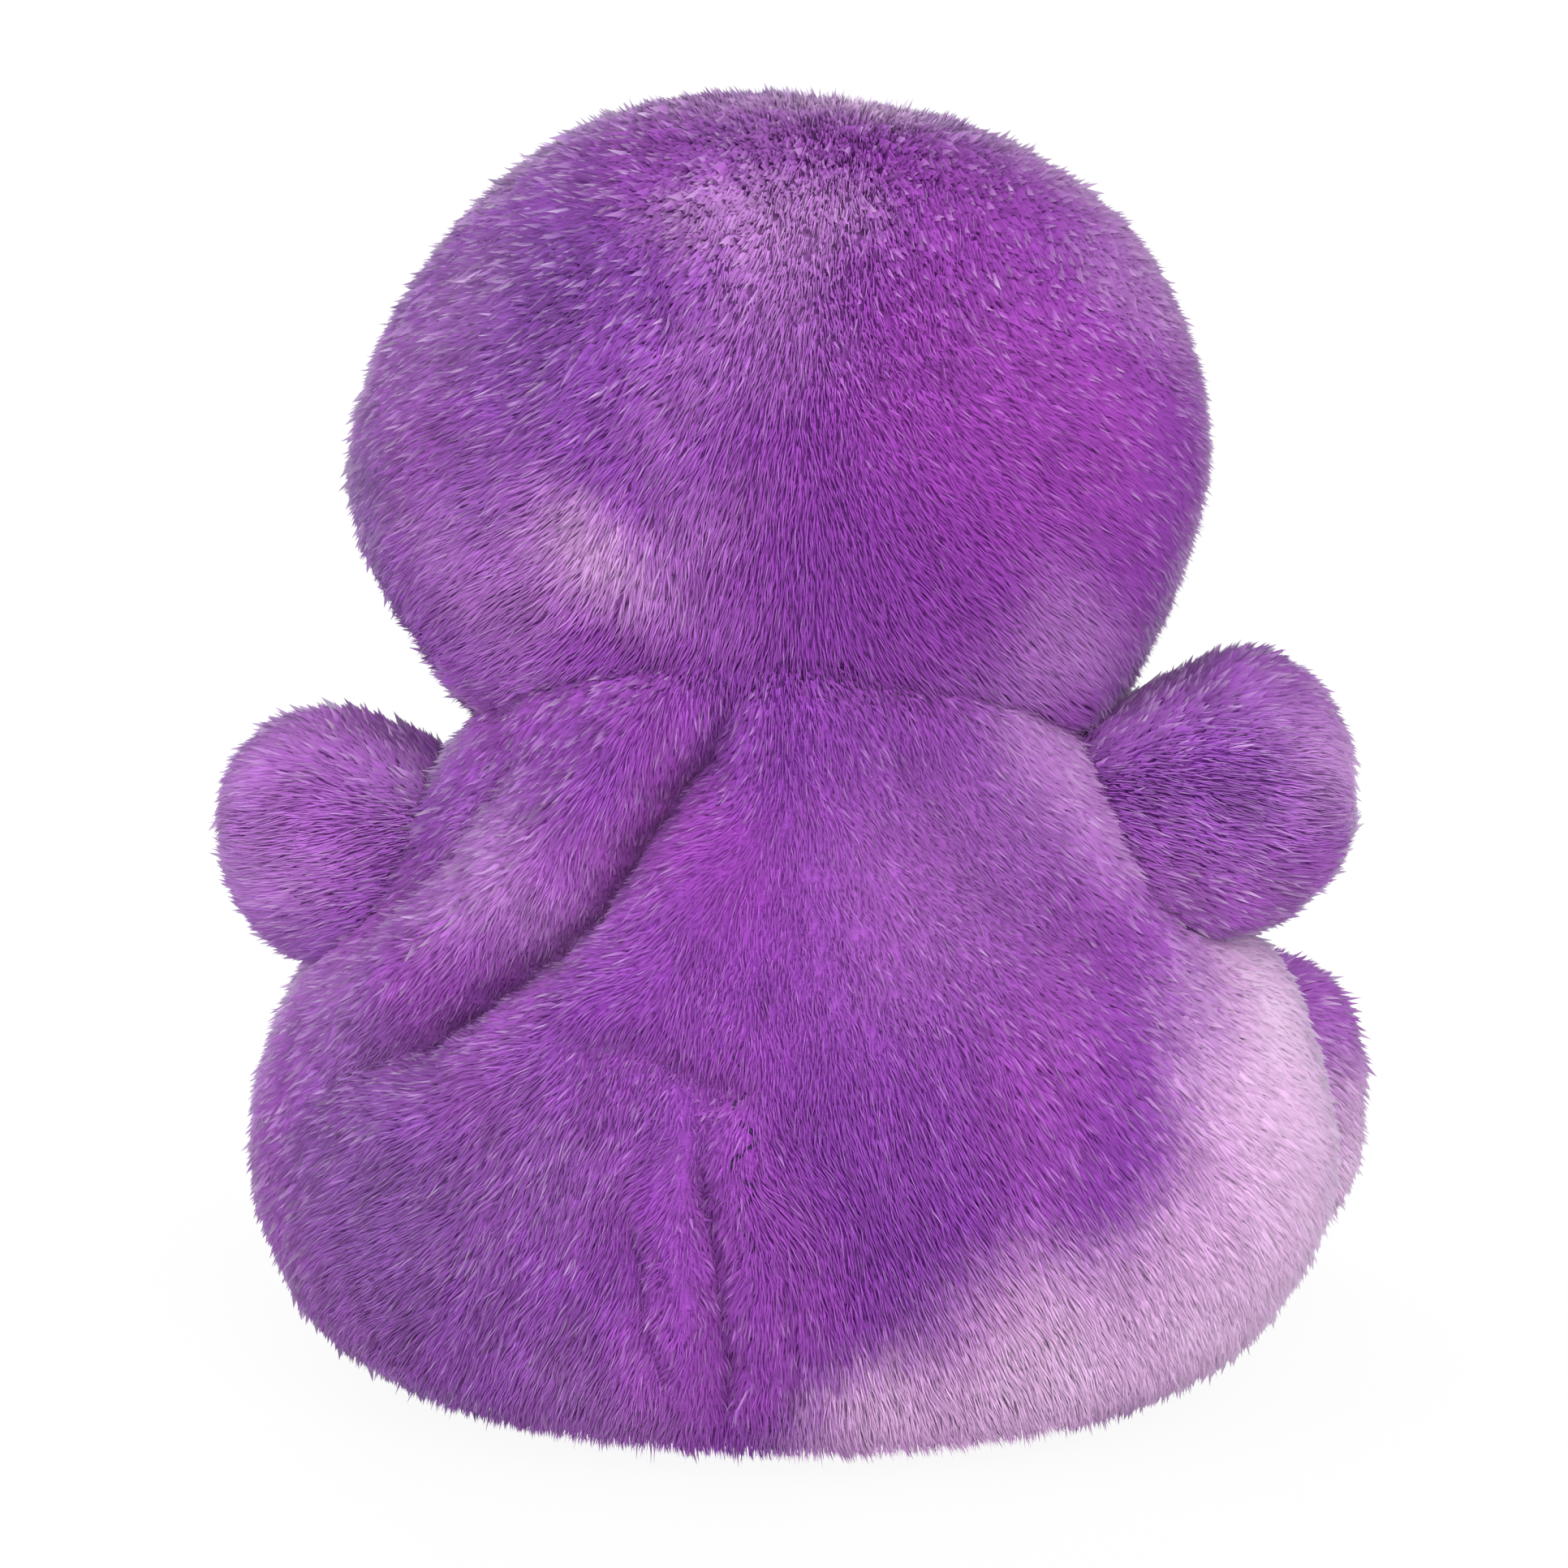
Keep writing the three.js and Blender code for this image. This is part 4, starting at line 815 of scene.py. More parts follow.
class Coat:
    """The strands of one area of fur, before they are shared out to its panels."""

    def __init__(self, skin, per_mm2, height, seed, width=STRAND_WIDTH):
        self.draw = np.random.default_rng(seed)
        self.seed = seed
        self.roots, self.normals = skin.scatter(per_mm2, seed + SCATTER_SEED)
        count = len(self.roots)
        self.guard = self.draw.uniform(size=count) < GUARD_SHARE
        self.height = height * np.where(self.guard, GUARD_HEIGHT, self.draw.uniform(*HEIGHT_SHARES, count))
        self.width = width * np.where(self.guard, GUARD_WIDTH, 1.0)
        self.shade = np.ones(count)

    def keep(self, wanted):
        """Drops every strand that isn't wanted."""
        for name in ("roots", "normals", "height", "width", "shade", "guard"):
            setattr(self, name, getattr(self, name)[wanted])

    def thin(self, share):
        """Keeps only a share of the strands, which may differ from place to place."""
        self.keep(self.draw.uniform(size=len(self.roots)) < share)

    def press(self, crease):
        """In a crease the strands are shorter, and shade is painted on them."""
        self.height *= 1 - 0.65 * crease ** 0.5
        self.shade *= 1 - 0.6 * crease

    def clear_of(self, *depths, spare=0.0):
        """Drops strands whose root another form covers, and shortens those beside it and paints shade on
        them.
        """
        gap = np.min([depth(self.roots) for depth in depths], axis=0)
        self.keep(gap > COVERED)
        beside = 1 - smooth(gap[gap > COVERED], COVERED, BESIDE)
        squeeze = beside * smooth(np.abs(self.roots[:, 0]), spare, spare + 8 * MM)
        self.height *= 1 - 0.5 * squeeze
        self.shade *= 1 - 0.25 * squeeze

    def shorten_low(self):
        """Near the table the strands are pressed short, down to 0.3 of their height."""
        self.height *= 0.3 + 0.7 * smooth(self.roots[:, 2], 0.5 * MM, 7 * MM)

    def comb(self, nap, lean, ruffle=0.0):
        """Lays the strands along the nap, with clumps of two sizes and some disorder."""
        count = len(self.roots)
        flow = nap(self.roots)
        flow = unit(flow - (flow * self.normals).sum(1, keepdims=True) * self.normals)
        clumps = np.stack([
            sum(strength * waves(self.roots, size, self.seed + shift + axis)
                for size, strength, shift in CLUMPS)
            for axis in range(3)
        ], 1)
        loose = np.broadcast_to(np.asarray(ruffle, float), count)[:, None]
        jitter = self.draw.normal(size=(count, 3)) * (0.09 + 0.08 * loose)
        clumps = clumps * (1 + 1.5 * loose)
        lean = np.broadcast_to(np.radians(lean), count)[:, None] * (1 - 0.3 * loose)
        lean = lean + self.draw.normal(size=(count, 1)) * 0.09
        low, high = LOW_TURN * lean, np.minimum(HIGH_TURN * lean, STEEPEST)
        rise = unit(np.cos(low) * self.normals + np.sin(low) * flow + 0.5 * clumps + jitter)
        fall = unit(np.cos(high) * self.normals + np.sin(high) * flow + clumps + jitter)
        half_length = (self.height[:, None] + SUNK) / np.maximum(np.cos(low) + np.cos(high), 0.8)
        sunk = self.roots - self.normals * SUNK
        bend = sunk + rise * half_length
        tips = bend + fall * half_length
        across = unit(np.cross(fall, self.normals + self.draw.normal(size=(count, 3)) * 0.2))
        half = across * self.width[:, None] * self.draw.uniform(*HALF_WIDTHS, (count, 1))
        inward = (np.cross(half, bend - sunk) * (tips - sunk)).sum(1, keepdims=True) < 0
        half = np.where(inward, -half, half)  # so that each blade's faces look outward
        self.blades = np.stack([sunk, bend - half, bend + half, tips], 1)
        self.facing = unit(self.normals + self.draw.normal(size=(count, 3)) * 0.06 + 0.1 * flow)

    def stay_above(self, height):
        """No strand reaches under the table."""
        self.blades[..., 2] = np.maximum(self.blades[..., 2], height)

    def colour(self, patches, seed, painted_tip_sheen, tufted, ground=MARBLE):
        """Each strand has the dye of its place, a shade of its own and a tip painted paler as sheen. A few
        get a painted glint, and the guard hairs a painted highlight on their tips.

        Tufted, from 0 to 1, says how uneven the pile is and how many painted glints it gets. Light goes
        through real fibres and reaches their roots. Here the roots of the long pile are painted paler
        instead, as painted light.
        """
        count = len(self.roots)
        strayed = self.roots + self.draw.normal(size=self.roots.shape) * 1.1 * MM
        dyed = dye(strayed, patches, seed, ground)
        shade = np.exp(self.draw.normal(size=count) * 0.03) * self.shade
        for size, calm, rough, shift in SHADE_NOISE:
            shade = shade * (1 + (calm + rough * tufted) * waves(self.roots, size, self.seed + shift))
        marbled = ground is MARBLE
        fade = np.array(LONG_PAINTED_ROOT_LIGHT if marbled else SHORT_FADE)
        colours = (dyed * shade[:, None])[:, None, :] * fade[None, :, None]
        glint = (self.draw.uniform(size=count) < (0.01 + 0.06 * tufted) * marbled) * 0.45
        painted_tip_light = (np.broadcast_to(painted_tip_sheen, count) + 0.3 * self.guard * marbled) * self.shade
        pale = np.stack([0 * painted_tip_light, 0.25 * painted_tip_light, 0.25 * painted_tip_light + 0.4 * glint, painted_tip_light + glint], 1)[..., None]
        self.colours = np.clip(colours * (1 - pale) + PAINTED_HIGHLIGHT * pale, 0, PALEST)

    def piece(self, name, body, chosen, look, nodes, slot):
        """The chosen strands as one object."""
        blades, colours = self.blades[chosen], self.colours[chosen]
        count = len(blades)
        corner = np.array([[0, 1, 2], [3, 2, 1], [0, 3, 1], [0, 2, 3]])
        triangles = (np.arange(count)[:, None, None] * 4 + corner[None]).reshape(-1, 3)
        fur = mesh_object(name, blades.reshape(-1, 3), triangles, look)
        add_dye(fur, colours.reshape(-1, 3))
        self.chart(fur, self.roots[chosen], corner)
        fur.data.normals_split_custom_set_from_vertices(np.repeat(self.facing[chosen], 4, axis=0))
        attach(fur, body)
        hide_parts(*nodes)
        print(name, count, "strands", len(triangles), "triangles")

    @staticmethod
    def chart(fur, roots, corner):
        """A UV map with one small cell for each strand, neighbours side by side."""
        count = len(roots)
        side = int(np.ceil(np.sqrt(count)))
        column_of = np.empty(count, int)
        column_of[np.argsort(roots[:, 0] + roots[:, 1], kind="stable")] = np.arange(count) // side
        order = np.lexsort((roots[:, 2], column_of))
        row_of = np.empty(count, int)
        row_of[order] = np.arange(count) % side
        cell = np.stack([column_of, row_of], 1)[:, None, :]
        spot = np.array([(0.1, 0.5), (0.5, 0.1), (0.5, 0.9), (0.9, 0.5)])[None]
        places = (cell + spot) / side
        per_corner = places[:, corner, :].reshape(-1, 2)
        layer = fur.data.uv_layers.new(name="OFBake")
        layer.data.foreach_set("uv", per_corner.astype(np.float32).ravel())


print("strands", round(STRAND_WIDTH / MM, 3), "mm wide, over", round(SUNK / MM, 1), "mm in the cloth")

# %% [markdown]
# Acrylic pile is matt along its side and glints where a fibre turns over. A hair shader would be
# nearest, but it can't be baked, so a Principled shader with a little sheen gives the pale rim that
# such fur has against the light. The dye sits in a colour attribute on the strands, and the material
# only reads it.

# %% Fur materials
def pile_look(name, roughness, sheen, bloom):
    """Dyed acrylic pile, whose tone varies a little from tuft to tuft towards a paler bloom."""
    look = Look(name, sheen_weight=sheen, sheen_roughness=0.2)
    look.shader.inputs["Sheen Tint"].default_value = (0.93, 0.87, 1, 1)
    look.shader.inputs["Specular IOR Level"].default_value = 0.12
    dyed = look.add("ShaderNodeAttribute", {"attribute_name": "dye"}, output="Color")
    tuft = look.noise(1.2 * MM, 3.0)
    look.colour(look.mix(tuft * 0.1, dyed, linear(bloom)))
    look.roughness(roughness + 0.2 * tuft)
    return look


long_pile = pile_look("long_pile", 0.5, 0.4, "#c99ad8")
short_pile = pile_look("short_pile", 0.6, 0.3, "#fff8ee")

backing = pile_look("backing_cloth", 0.75, 0.3, "#c9b5cf")
knit = backing.bands(0.9 * MM, "X", 0.6) * backing.bands(0.7 * MM, "Z", 0.6)
backing.bump(knit, 0.15 * MM)
print("pile materials", [look.material.name for look in (long_pile, short_pile, backing)])

# %% [markdown]
# The face carries sewn ornaments, and each one lies on a curved head. They could be drawn flat and
# shrunk on by a modifier, but then their stitches would slide. So each has a spot on the face with
# its own directions: across, up and out. A drawing in the plane of across and up is dropped on the
# head along its outward line, by a few steps that each close the gap that is left.

# %% Spots on the face
EYE_SIDE, EYE_RISE = 13.5 * MM, 3 * MM
FLOWER_REACH = (9 * MM, 1.5 * MM, 10)  # radius, swell and petals of the flower round an eye
BROW_REACH = (5.8 * MM, 1.7 * MM, 6)  # of the flower on the forehead
NOSE_SIZE = 4.4 * MM
MOUTH_HALF_WIDTH, MOUTH_SAG = 14 * MM, 2.6 * MM
STITCH_HALF_WIDTH = 0.5 * MM


class Spot:
    """A place on the face, with directions across it, up it and out of it."""

    def __init__(self, side, rise):
        step = 0.5 * MM
        self.middle = self.on_head(side, rise)
        self.across = unit(self.on_head(side + step, rise) - self.on_head(side - step, rise))
        upward = self.on_head(side, rise + step) - self.on_head(side, rise - step)
        self.outward = unit(np.cross(self.across, upward))
        self.up = np.cross(self.outward, self.across)

    @staticmethod
    def on_head(side, rise):
        """The head's front: forward = share * depth * (1 - |side / (share * width)|^r)^(1/r)."""
        half_width, front, _, half_height = HEAD.sizes
        r, place = HEAD.roundness, rise / half_height
        share = (1 - abs(place) ** r) ** (1 / r) * (1 + HEAD.taper * place)
        forward = share * front * (1 - (abs(side) / (share * half_width)) ** r) ** (1 / r)
        return HEAD.middle + np.array([side, -forward, rise]) @ HEAD.axes

    def at(self, u, v, lift):
        """Points u across and v up from the spot, at a lift over the head."""
        u, v, lift = np.broadcast_arrays(u, v, lift)
        points = (self.middle + u[..., None] * self.across + v[..., None] * self.up).reshape(-1, 3)
        for _ in range(25):
            points = points + (lift.ravel() - HEAD.depth(points))[:, None] * self.outward
        return points.reshape(*u.shape, 3)

    def seen(self, points):
        """How far across and up points lie."""
        return (points - self.middle) @ self.across, (points - self.middle) @ self.up


def flower_reach(angle, radius, swell, petals):
    """A circle that swells once for each petal: radius + swell * (|cos(petals * angle / 2)| - 1/2)."""
    return radius + swell * (np.abs(np.cos(petals * angle / 2)) - 0.5)


eye_spots = {name: Spot(side * EYE_SIDE, EYE_RISE) for name, side in SIDES.items()}
nose_spot = Spot(0, -8.5 * MM)
mouth_spot = Spot(0, -18 * MM)
brow_spot = Spot(0, 18 * MM)


def smile(u):
    """The mouth's line: it sags by a parabola, -sag * (1 - (u / half width)^2)."""
    return -MOUTH_SAG * (1 - (u / MOUTH_HALF_WIDTH) ** 2)


def sewn_over(points):
    """True where an ornament is sewn over the face's pile."""
    covered = np.zeros(len(points), bool)
    flowers = [(eye_spots["left"], FLOWER_REACH), (eye_spots["right"], FLOWER_REACH), (brow_spot, BROW_REACH)]
    for spot, reach in flowers:
        u, v = spot.seen(points)
        covered |= np.hypot(u, v) < flower_reach(np.arctan2(v, u), *reach) - 0.7 * MM
    u, v = nose_spot.seen(points)
    covered |= np.hypot(u, v + 0.8 * MM) < 3.2 * MM
    u, v = mouth_spot.seen(points)
    covered |= (np.abs(v - smile(u)) < STITCH_HALF_WIDTH) & (np.abs(u) < MOUTH_HALF_WIDTH)
    return covered


print("eyes at", [(spot.middle / MM).round(1).tolist() for spot in eye_spots.values()])

# %% [markdown]
# The nap is the way the pile lies. On the body it runs down and away from the nape, on the head
# out to both sides from the crown seam, on each arm out towards its tip, and on each foot down.
# It could be combed by hand in Blender, but a flow from a formula is the same on every run. The
# spots are where the photograph shows the pile brushed another way.

# %% Nap
NAPE = np.array([0, 20, 104]) * MM


class Nap:
    """Which way the pile lies: a general flow, and spots that were brushed another way."""

    def __init__(self, flow, spots=()):
        self.flow = flow
        self.spots = spots

    def __call__(self, points):
        """Each spot is a place, a radius and an angle seen from behind: 0 is to the toy's left."""
        flow = unit(self.flow(points))
        for place, radius, angle in self.spots:
            share = np.exp(-(((points - np.array(place) * MM) / (radius * MM)) ** 2).sum(1))[:, None]
            turn = np.radians(angle)
            flow = flow * (1 - share) + share * np.array([np.cos(turn), 0, np.sin(turn)])
        return flow


def down_from_nape(points):
    """The direction from the nape, and a quarter as much down."""
    away = unit(points - NAPE)
    away[:, 2] -= 0.25
    return away


def out_from_crown(points):
    """Back over the top, then out to the sides of the crown seam and a little down."""
    x = (points[:, 0] - HEAD.middle[0]) / (30 * MM) + 0.12
    back = 0.5 + 1.3 * smooth(points[:, 2], 96 * MM, 120 * MM)
    return np.stack([1.1 * np.tanh(1.3 * x), back, np.full(len(x), -0.5)], 1)


def out_along(name):
    """Out along an arm and a little down."""
    along = ARMS[name].axes[2]
    return lambda points: np.tile(along + np.array([0, 0, -0.15]), (len(points), 1))


def down_foot(points):
    """Down the foot."""
    return unit(points - np.array([0, 0, 60]) * MM) + np.array([0, 0, -0.6])


def from_nose(points):
    """Out over the face from the nose, and a little down."""
    return unit(points - nose_spot.middle) + np.array([0, 0, -0.3])


torso_nap = Nap(down_from_nape, [
    ((24, 30, 66), 9, -62), ((32, 26, 54), 9, -50), ((16, 36, 68), 6, -60),
    ((5, 38, 63), 6, -25), ((13, 39, 52), 6, -12), ((23, 38, 43), 6, -8), ((33, 34, 36), 6, -15),
    ((36, 32, 22), 14, -28), ((15, 42, 16), 9, -62), ((7, 45, 32), 5, -35), ((-5, 45, 32), 5, -150),
    ((-26, 37, 22), 16, -122), ((-46, 18, 32), 14, -142), ((-26, 30, 64), 9, -128),
])
head_nap = Nap(out_from_crown, [
    ((9, 34, 88), 9, -90), ((32, 20, 100), 13, -22), ((22, 12, 118), 12, -12), ((30, 22, 84), 11, -38),
    ((-30, 20, 84), 12, -135),
])
print("brushed spots", len(torso_nap.spots), "on the back and", len(head_nap.spots), "on the head")

# %% [markdown]
# The body's fur is one coat that is combed as a whole and then cut at the panels' seams, as the real
# cloth is cut. Grown panel by panel, it would part at each seam. It is thinner at the front, which
# the photograph doesn't show, and almost shorn under the seat, on which the toy rests.

# %% The body's fur
REAR_DENSITY = 11.2  # strands to a square mm, where the photograph looks closest
FRONT_SHARE, SEAT_SHARE = 0.7, 0.25
NAP_LEAN = 50  # degrees from upright
CLOSING_Y = 40 * MM
NECK_SPARE = 3 * MM  # the crown and centre seams' fur stays full this far to either side in the neck


def under_head(points):
    """How far points lie outside the head's cloth."""
    return HEAD.depth(points) + CLOTH_SINK


def under_torso(points):
    """How far points lie outside the torso's cloth."""
    return torso_form(points) + CLOTH_SINK


torso_coat = Coat(torso_skin, REAR_DENSITY, PILE, 11)
under = torso_coat.normals[:, 2] < -0.8
torso_coat.height = np.where(under, SEAT_PILE * 0.6, torso_coat.height)
front = torso_coat.roots[:, 1] < TORSO_MIDDLE_Y - 4 * MM
torso_coat.thin(np.where(under, SEAT_SHARE, np.where(front, FRONT_SHARE, 1.0)))
torso_coat.clear_of(under_head, spare=NECK_SPARE)
torso_coat.press(torso_crease(torso_coat.roots))
torso_coat.shorten_low()
x, y, z = torso_coat.roots.T
by_seam = 0.9 * np.exp(-((x - 4 * MM) / (7 * MM)) ** 2) * (y > CLOSING_Y) * (1 - smooth(z, 36 * MM, 44 * MM))
upright = np.exp(-(((x + 8 * MM) / (20 * MM)) ** 2 + ((z - 56 * MM) / (18 * MM)) ** 2)) * (y > 0)
tufted = 0.55 * np.exp(-(((x - 30 * MM) / (16 * MM)) ** 2 + ((z - 42 * MM) / (26 * MM)) ** 2)) * (y > 0)
torso_coat.comb(torso_nap, NAP_LEAN - 20 * upright, np.maximum(by_seam, tufted))
torso_coat.stay_above(0.15 * MM)
torso_coat.colour(TORSO_PATCHES, 100, painted_sheen(torso_coat.roots), smooth(x, -10 * MM, 26 * MM))
rear, left, seat = y > TORSO_MIDDLE_Y, x > 0, z < SEAT_SEAM_HEIGHT
for label, chosen, node in [
    ("body_back_left", rear & left & ~seat, "body_back_left"),
    ("body_back_right", rear & ~left & ~seat, "body_back_right"),
    ("belly_left", ~rear & left & ~seat, "belly_panel"),
    ("belly_right", ~rear & ~left & ~seat, "belly_panel"),
    ("seat", seat, "seat_panel"),
]:
    torso_coat.piece("fur_" + label, "torso", chosen, long_pile, [node], "body_plush")

# %% [markdown]
# The head's fur parts at the crown seam and is ruffled on the toy's left. The limbs' fur is plainer.
# Strands could be let through wherever two forms touch, but they would show as bristles. So each coat is
# cleared where another form covers it, and the strands beside that place are shorter, with shade painted on
# them.

# %% The head's and the limbs' fur
ARM_DENSITY, LEG_DENSITY = 11.2, 9.0
LIMB_LEAN = 48
# How far the limbs' tips are painted paler, as sheen.
LIMB_PAINTED_SHEEN = 0.14
FOOT_CLEARANCE = 0.2 * MM  # over the table

head_coat = Coat(head_skin, REAR_DENSITY, PILE, 12)
head_coat.keep(head_coat.roots[:, 1] > FACE_SEAM_Y)
head_coat.clear_of(under_torso, spare=NECK_SPARE)
x, y, z = ((head_coat.roots - HEAD.middle) @ HEAD.axes.T).T
upright = smooth(-x, -2 * MM, 10 * MM) * (1 - smooth(z, 16 * MM, 30 * MM))
head_coat.comb(head_nap, 52 - 18 * upright, 0.35 * smooth(x, -2 * MM, 20 * MM))
head_coat.colour(HEAD_PATCHES, 200, painted_sheen(head_coat.roots), smooth(x, -6 * MM, 20 * MM))
head_coat.piece("fur_head_back_left", "head", x > 0, long_pile, ["head_back_left"], "head_plush")
head_coat.piece("fur_head_back_right", "head", x <= 0, long_pile, ["head_back_right"], "head_plush")

for name in SIDES:
    coat = Coat(arm_skins[name], ARM_DENSITY, PILE, 13 + SIDES[name])
    coat.clear_of(under_torso, under_head)
    coat.comb(out_along(name), LIMB_LEAN)
    coat.colour(LIMB_PATCHES, 300, LIMB_PAINTED_SHEEN, 0.8)
    front = coat.roots[:, 1] < ARMS[name].middle[1]
    for part, chosen in [("front", front), ("back", ~front)]:
        node = f"arm_{name}_{part}"
        coat.piece(f"fur_{node}", f"arm_{name}", chosen, long_pile, [node], "limb_plush")

for name in SIDES:
    coat = Coat(leg_skins[name], LEG_DENSITY, PILE, 17 + SIDES[name], WIDE_STRAND)
    coat.keep(before_sole(name, coat.roots) < 0)
    coat.clear_of(under_torso)
    coat.shorten_low()
    coat.comb(down_foot, LIMB_LEAN)
    coat.stay_above(FOOT_CLEARANCE)
    coat.colour(LIMB_PATCHES, 300, LIMB_PAINTED_SHEEN, 0.4)
    outer = (coat.roots - LEGS[name].foot.middle) @ LEGS[name].outward > 0
    for part, chosen in [("outer", outer), ("inner", ~outer)]:
        node = f"leg_{name}_{part}"
        coat.piece(f"fur_{node}", f"leg_{name}", chosen, long_pile, [node], "limb_plush")

# %% [markdown]
# The face and the soles are of a short clipped pile, the colour of bone. A bump would do from far
# off, but their rim shows against the light, so the pile is grown as the long one is. Nothing grows
# where an ornament is sewn on, because its stitches press the pile flat.

# %% Face and soles
SHORT_DENSITY = 9.0
SHORT_LEAN, SHORT_RUFFLE = 34, 0.1
EVERYWHERE = slice(None)

face_coat = Coat(head_skin, SHORT_DENSITY, FACE_PILE, 19, WIDE_STRAND)
face_coat.keep(face_coat.roots[:, 1] <= FACE_SEAM_Y)
face_coat.clear_of(under_torso)
face_coat.keep(~sewn_over(face_coat.roots))
face_coat.comb(Nap(from_nose), SHORT_LEAN, SHORT_RUFFLE)
face_coat.colour(FACE_PATCHES, 400, 0.0, 0.0, BONE)
face_coat.piece("fur_face", "head", EVERYWHERE, short_pile, ["face_panel"], "face_plush")

for name in SIDES:
    coat = Coat(leg_skins[name], SHORT_DENSITY, FACE_PILE, 23 + SIDES[name], WIDE_STRAND)
    coat.keep(before_sole(name, coat.roots) >= 0)
    coat.comb(down_foot, SHORT_LEAN, SHORT_RUFFLE)
    coat.stay_above(FOOT_CLEARANCE)
    coat.colour([], 500, 0.0, 0.0, BONE)
    coat.piece(f"fur_sole_{name}", f"leg_{name}", EVERYWHERE, short_pile, [f"sole_{name}"], "face_plush")

# %% [markdown]
# Under the pile lies the knitted cloth that carries it: the stuffed form itself, padded out by its
# filling. A simulated cloth would have to be forced into this toy's own folds, so the skin that the
# fur grows on is the cloth. It takes the dye of the fur above it, so no bald spot shows between the
# strands.

# %% Cloth under the fur
def dress(label, skin, body, colours):
    """The cloth of one stuffed form."""
    cloth = mesh_object("cloth_" + label, skin.points, skin.triangles, backing)
    add_dye(cloth, colours)
    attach(cloth, body)
    print(cloth.name, len(skin.triangles), "triangles")


def two_tone(points, pale, patches, seed):
    """Marbled cloth with bone-coloured cloth where pale is 1."""
    share = pale[:, None]
    return dye(points, patches, seed) * (1 - share) + dye(points, [], 400, BONE) * share


def neck_painted_shade(gap):
    """Paints shade on the cloth that the neck's crease hides, since no pile shades it when the head nods."""
    return (0.36 + 0.64 * smooth(gap, 0.5 * MM, 3 * MM))[:, None]


CLOTH_SHADE = 0.9  # the cloth's dye against its fur's

points = torso_skin.points
# Painted shade: the torso's cloth is darker in the creases of its folds and in the neck's crease.
torso_dye = dye(points, TORSO_PATCHES, 100) * (1 - 0.5 * torso_crease(points))[:, None]
torso_dye = torso_dye * neck_painted_shade(under_head(points))
# Painted light: the torso's cloth is made lighter, against the shade between its strands.
dress("torso", torso_skin, "torso", np.minimum(torso_dye * 1.3, 0.9))
points = head_skin.points
on_face = (points[:, 1] < FACE_SEAM_Y).astype(float)
head_dye = two_tone(points, on_face, HEAD_PATCHES, 200) * CLOTH_SHADE
# Painted shade on the head's cloth in the neck's crease.
dress("head", head_skin, "head", head_dye * (neck_painted_shade(under_torso(points)) * 0.8 + 0.2))
for name in SIDES:
    arm_dye = dye(arm_skins[name].points, LIMB_PATCHES, 300) * CLOTH_SHADE
    dress(f"arm_{name}", arm_skins[name], f"arm_{name}", arm_dye)
    points = leg_skins[name].points
    on_sole = (before_sole(name, points) > 0).astype(float)
    leg_dye = two_tone(points, on_sole, LIMB_PATCHES, 300) * CLOTH_SHADE
    dress(f"leg_{name}", leg_skins[name], f"leg_{name}", leg_dye)

# %% [markdown]
# Felt is matted fibre with a soft bump. Thread is two plies laid round each other, with a dull gloss.
# Pictures of cloth would do, but noise has no seams. It is read from the object's own place, so it
# stays where it is in any pose.

# %% Felt and thread
def felt_look(name, colour, shade):
    """Wool felt: fine fibre noise in tone and height."""
    look = Look(name, sheen_weight=0.4, sheen_roughness=0.5)
    fibre = look.noise(0.35 * MM, 5.0, 1.2)
    look.colour(look.mix(fibre, linear(shade), linear(colour)))
    look.roughness(0.75 + 0.2 * fibre)
    look.bump(fibre, 0.12 * MM)
    return look


def thread_look(name, colour, shade):
    """Embroidery thread: fine filaments and a dull gloss."""
    look = Look(name, sheen_weight=0.2)
    filament = look.noise(0.16 * MM, 3.0, 0.5)
    look.colour(look.mix(filament, linear(shade), linear(colour)))
    look.roughness(0.38 + 0.25 * filament)
    look.bump(filament, 0.05 * MM)
    return look


teal_felt = felt_look("teal_felt", "#1fa3a6", "#12777c")
magenta_felt = felt_look("magenta_felt", "#cf3e9d", "#9f2a78")
dark_thread = thread_look("dark_thread", "#4a2566", "#2b1440")
mint_thread = thread_look("mint_thread", "#bfe9dd", "#8ccfc2")
rose_thread = thread_look("rose_thread", "#f4bcd8", "#dd8fb9")
gold_thread = thread_look("gold_thread", "#f0c65a", "#cf9c34")
threads = (dark_thread, mint_thread, rose_thread, gold_thread)
print("felts and threads", [look.material.name for look in (teal_felt, magenta_felt, *threads)])

# %% [markdown]
# A felt patch is cut to a rim, puffed by the stitches that hold it. It could be a flat shape with a
# bevel, but felt swells in the middle too. So its surface runs out along the underside, round the
# edge and back over the top. Every stitch is a short tube that rises out of the cloth and dips back
# into it.

# %% Sewn shapes
FELT_UNDER, FELT_TOP = -0.3 * MM, 1.3 * MM  # heights over the face
STITCH_DIP = 0.4 * MM  # how deep a stitch's ends lie in the cloth


def felt_patch(name, spot, rim, relief, look, node, slot):
    """A puffed shape: its height at a share s of the way out is half + half * sqrt(1 - s^6)."""
    out = np.array([0.12, 0.3, 0.5, 0.68, 0.82, 0.92, 0.98, 1.0])
    share = np.concatenate([out, out[-2::-1]])[:, None]
    top = np.where(np.arange(len(share)) < len(out) - 1, -1.0, 1.0)[:, None]
    height = 0.5 + 0.5 * top * np.sqrt(1 - share ** 6)
    lift = FELT_UNDER + (FELT_TOP - FELT_UNDER) * height * np.where(top > 0, relief(share), 1)
    grid = spot.at(share * rim[0], share * rim[1], lift)
    poles = spot.at(np.zeros(2), np.zeros(2), np.array([FELT_UNDER, lift[-1].mean()]))
    points = np.concatenate([grid.reshape(-1, 3), poles])
    sewn_on(name, points, closed_faces(len(share), rim.shape[1]), look, "head", node, slot)


def sewn_on(name, points, faces, look, body, node, slot):
    """A piece that rides on a body and stands for a node, if it has one."""
    piece = mesh_object(name, points, faces, look)
    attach(piece, body)
    if node:
        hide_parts(node)
    print(name, len(faces), "triangles")
    return piece


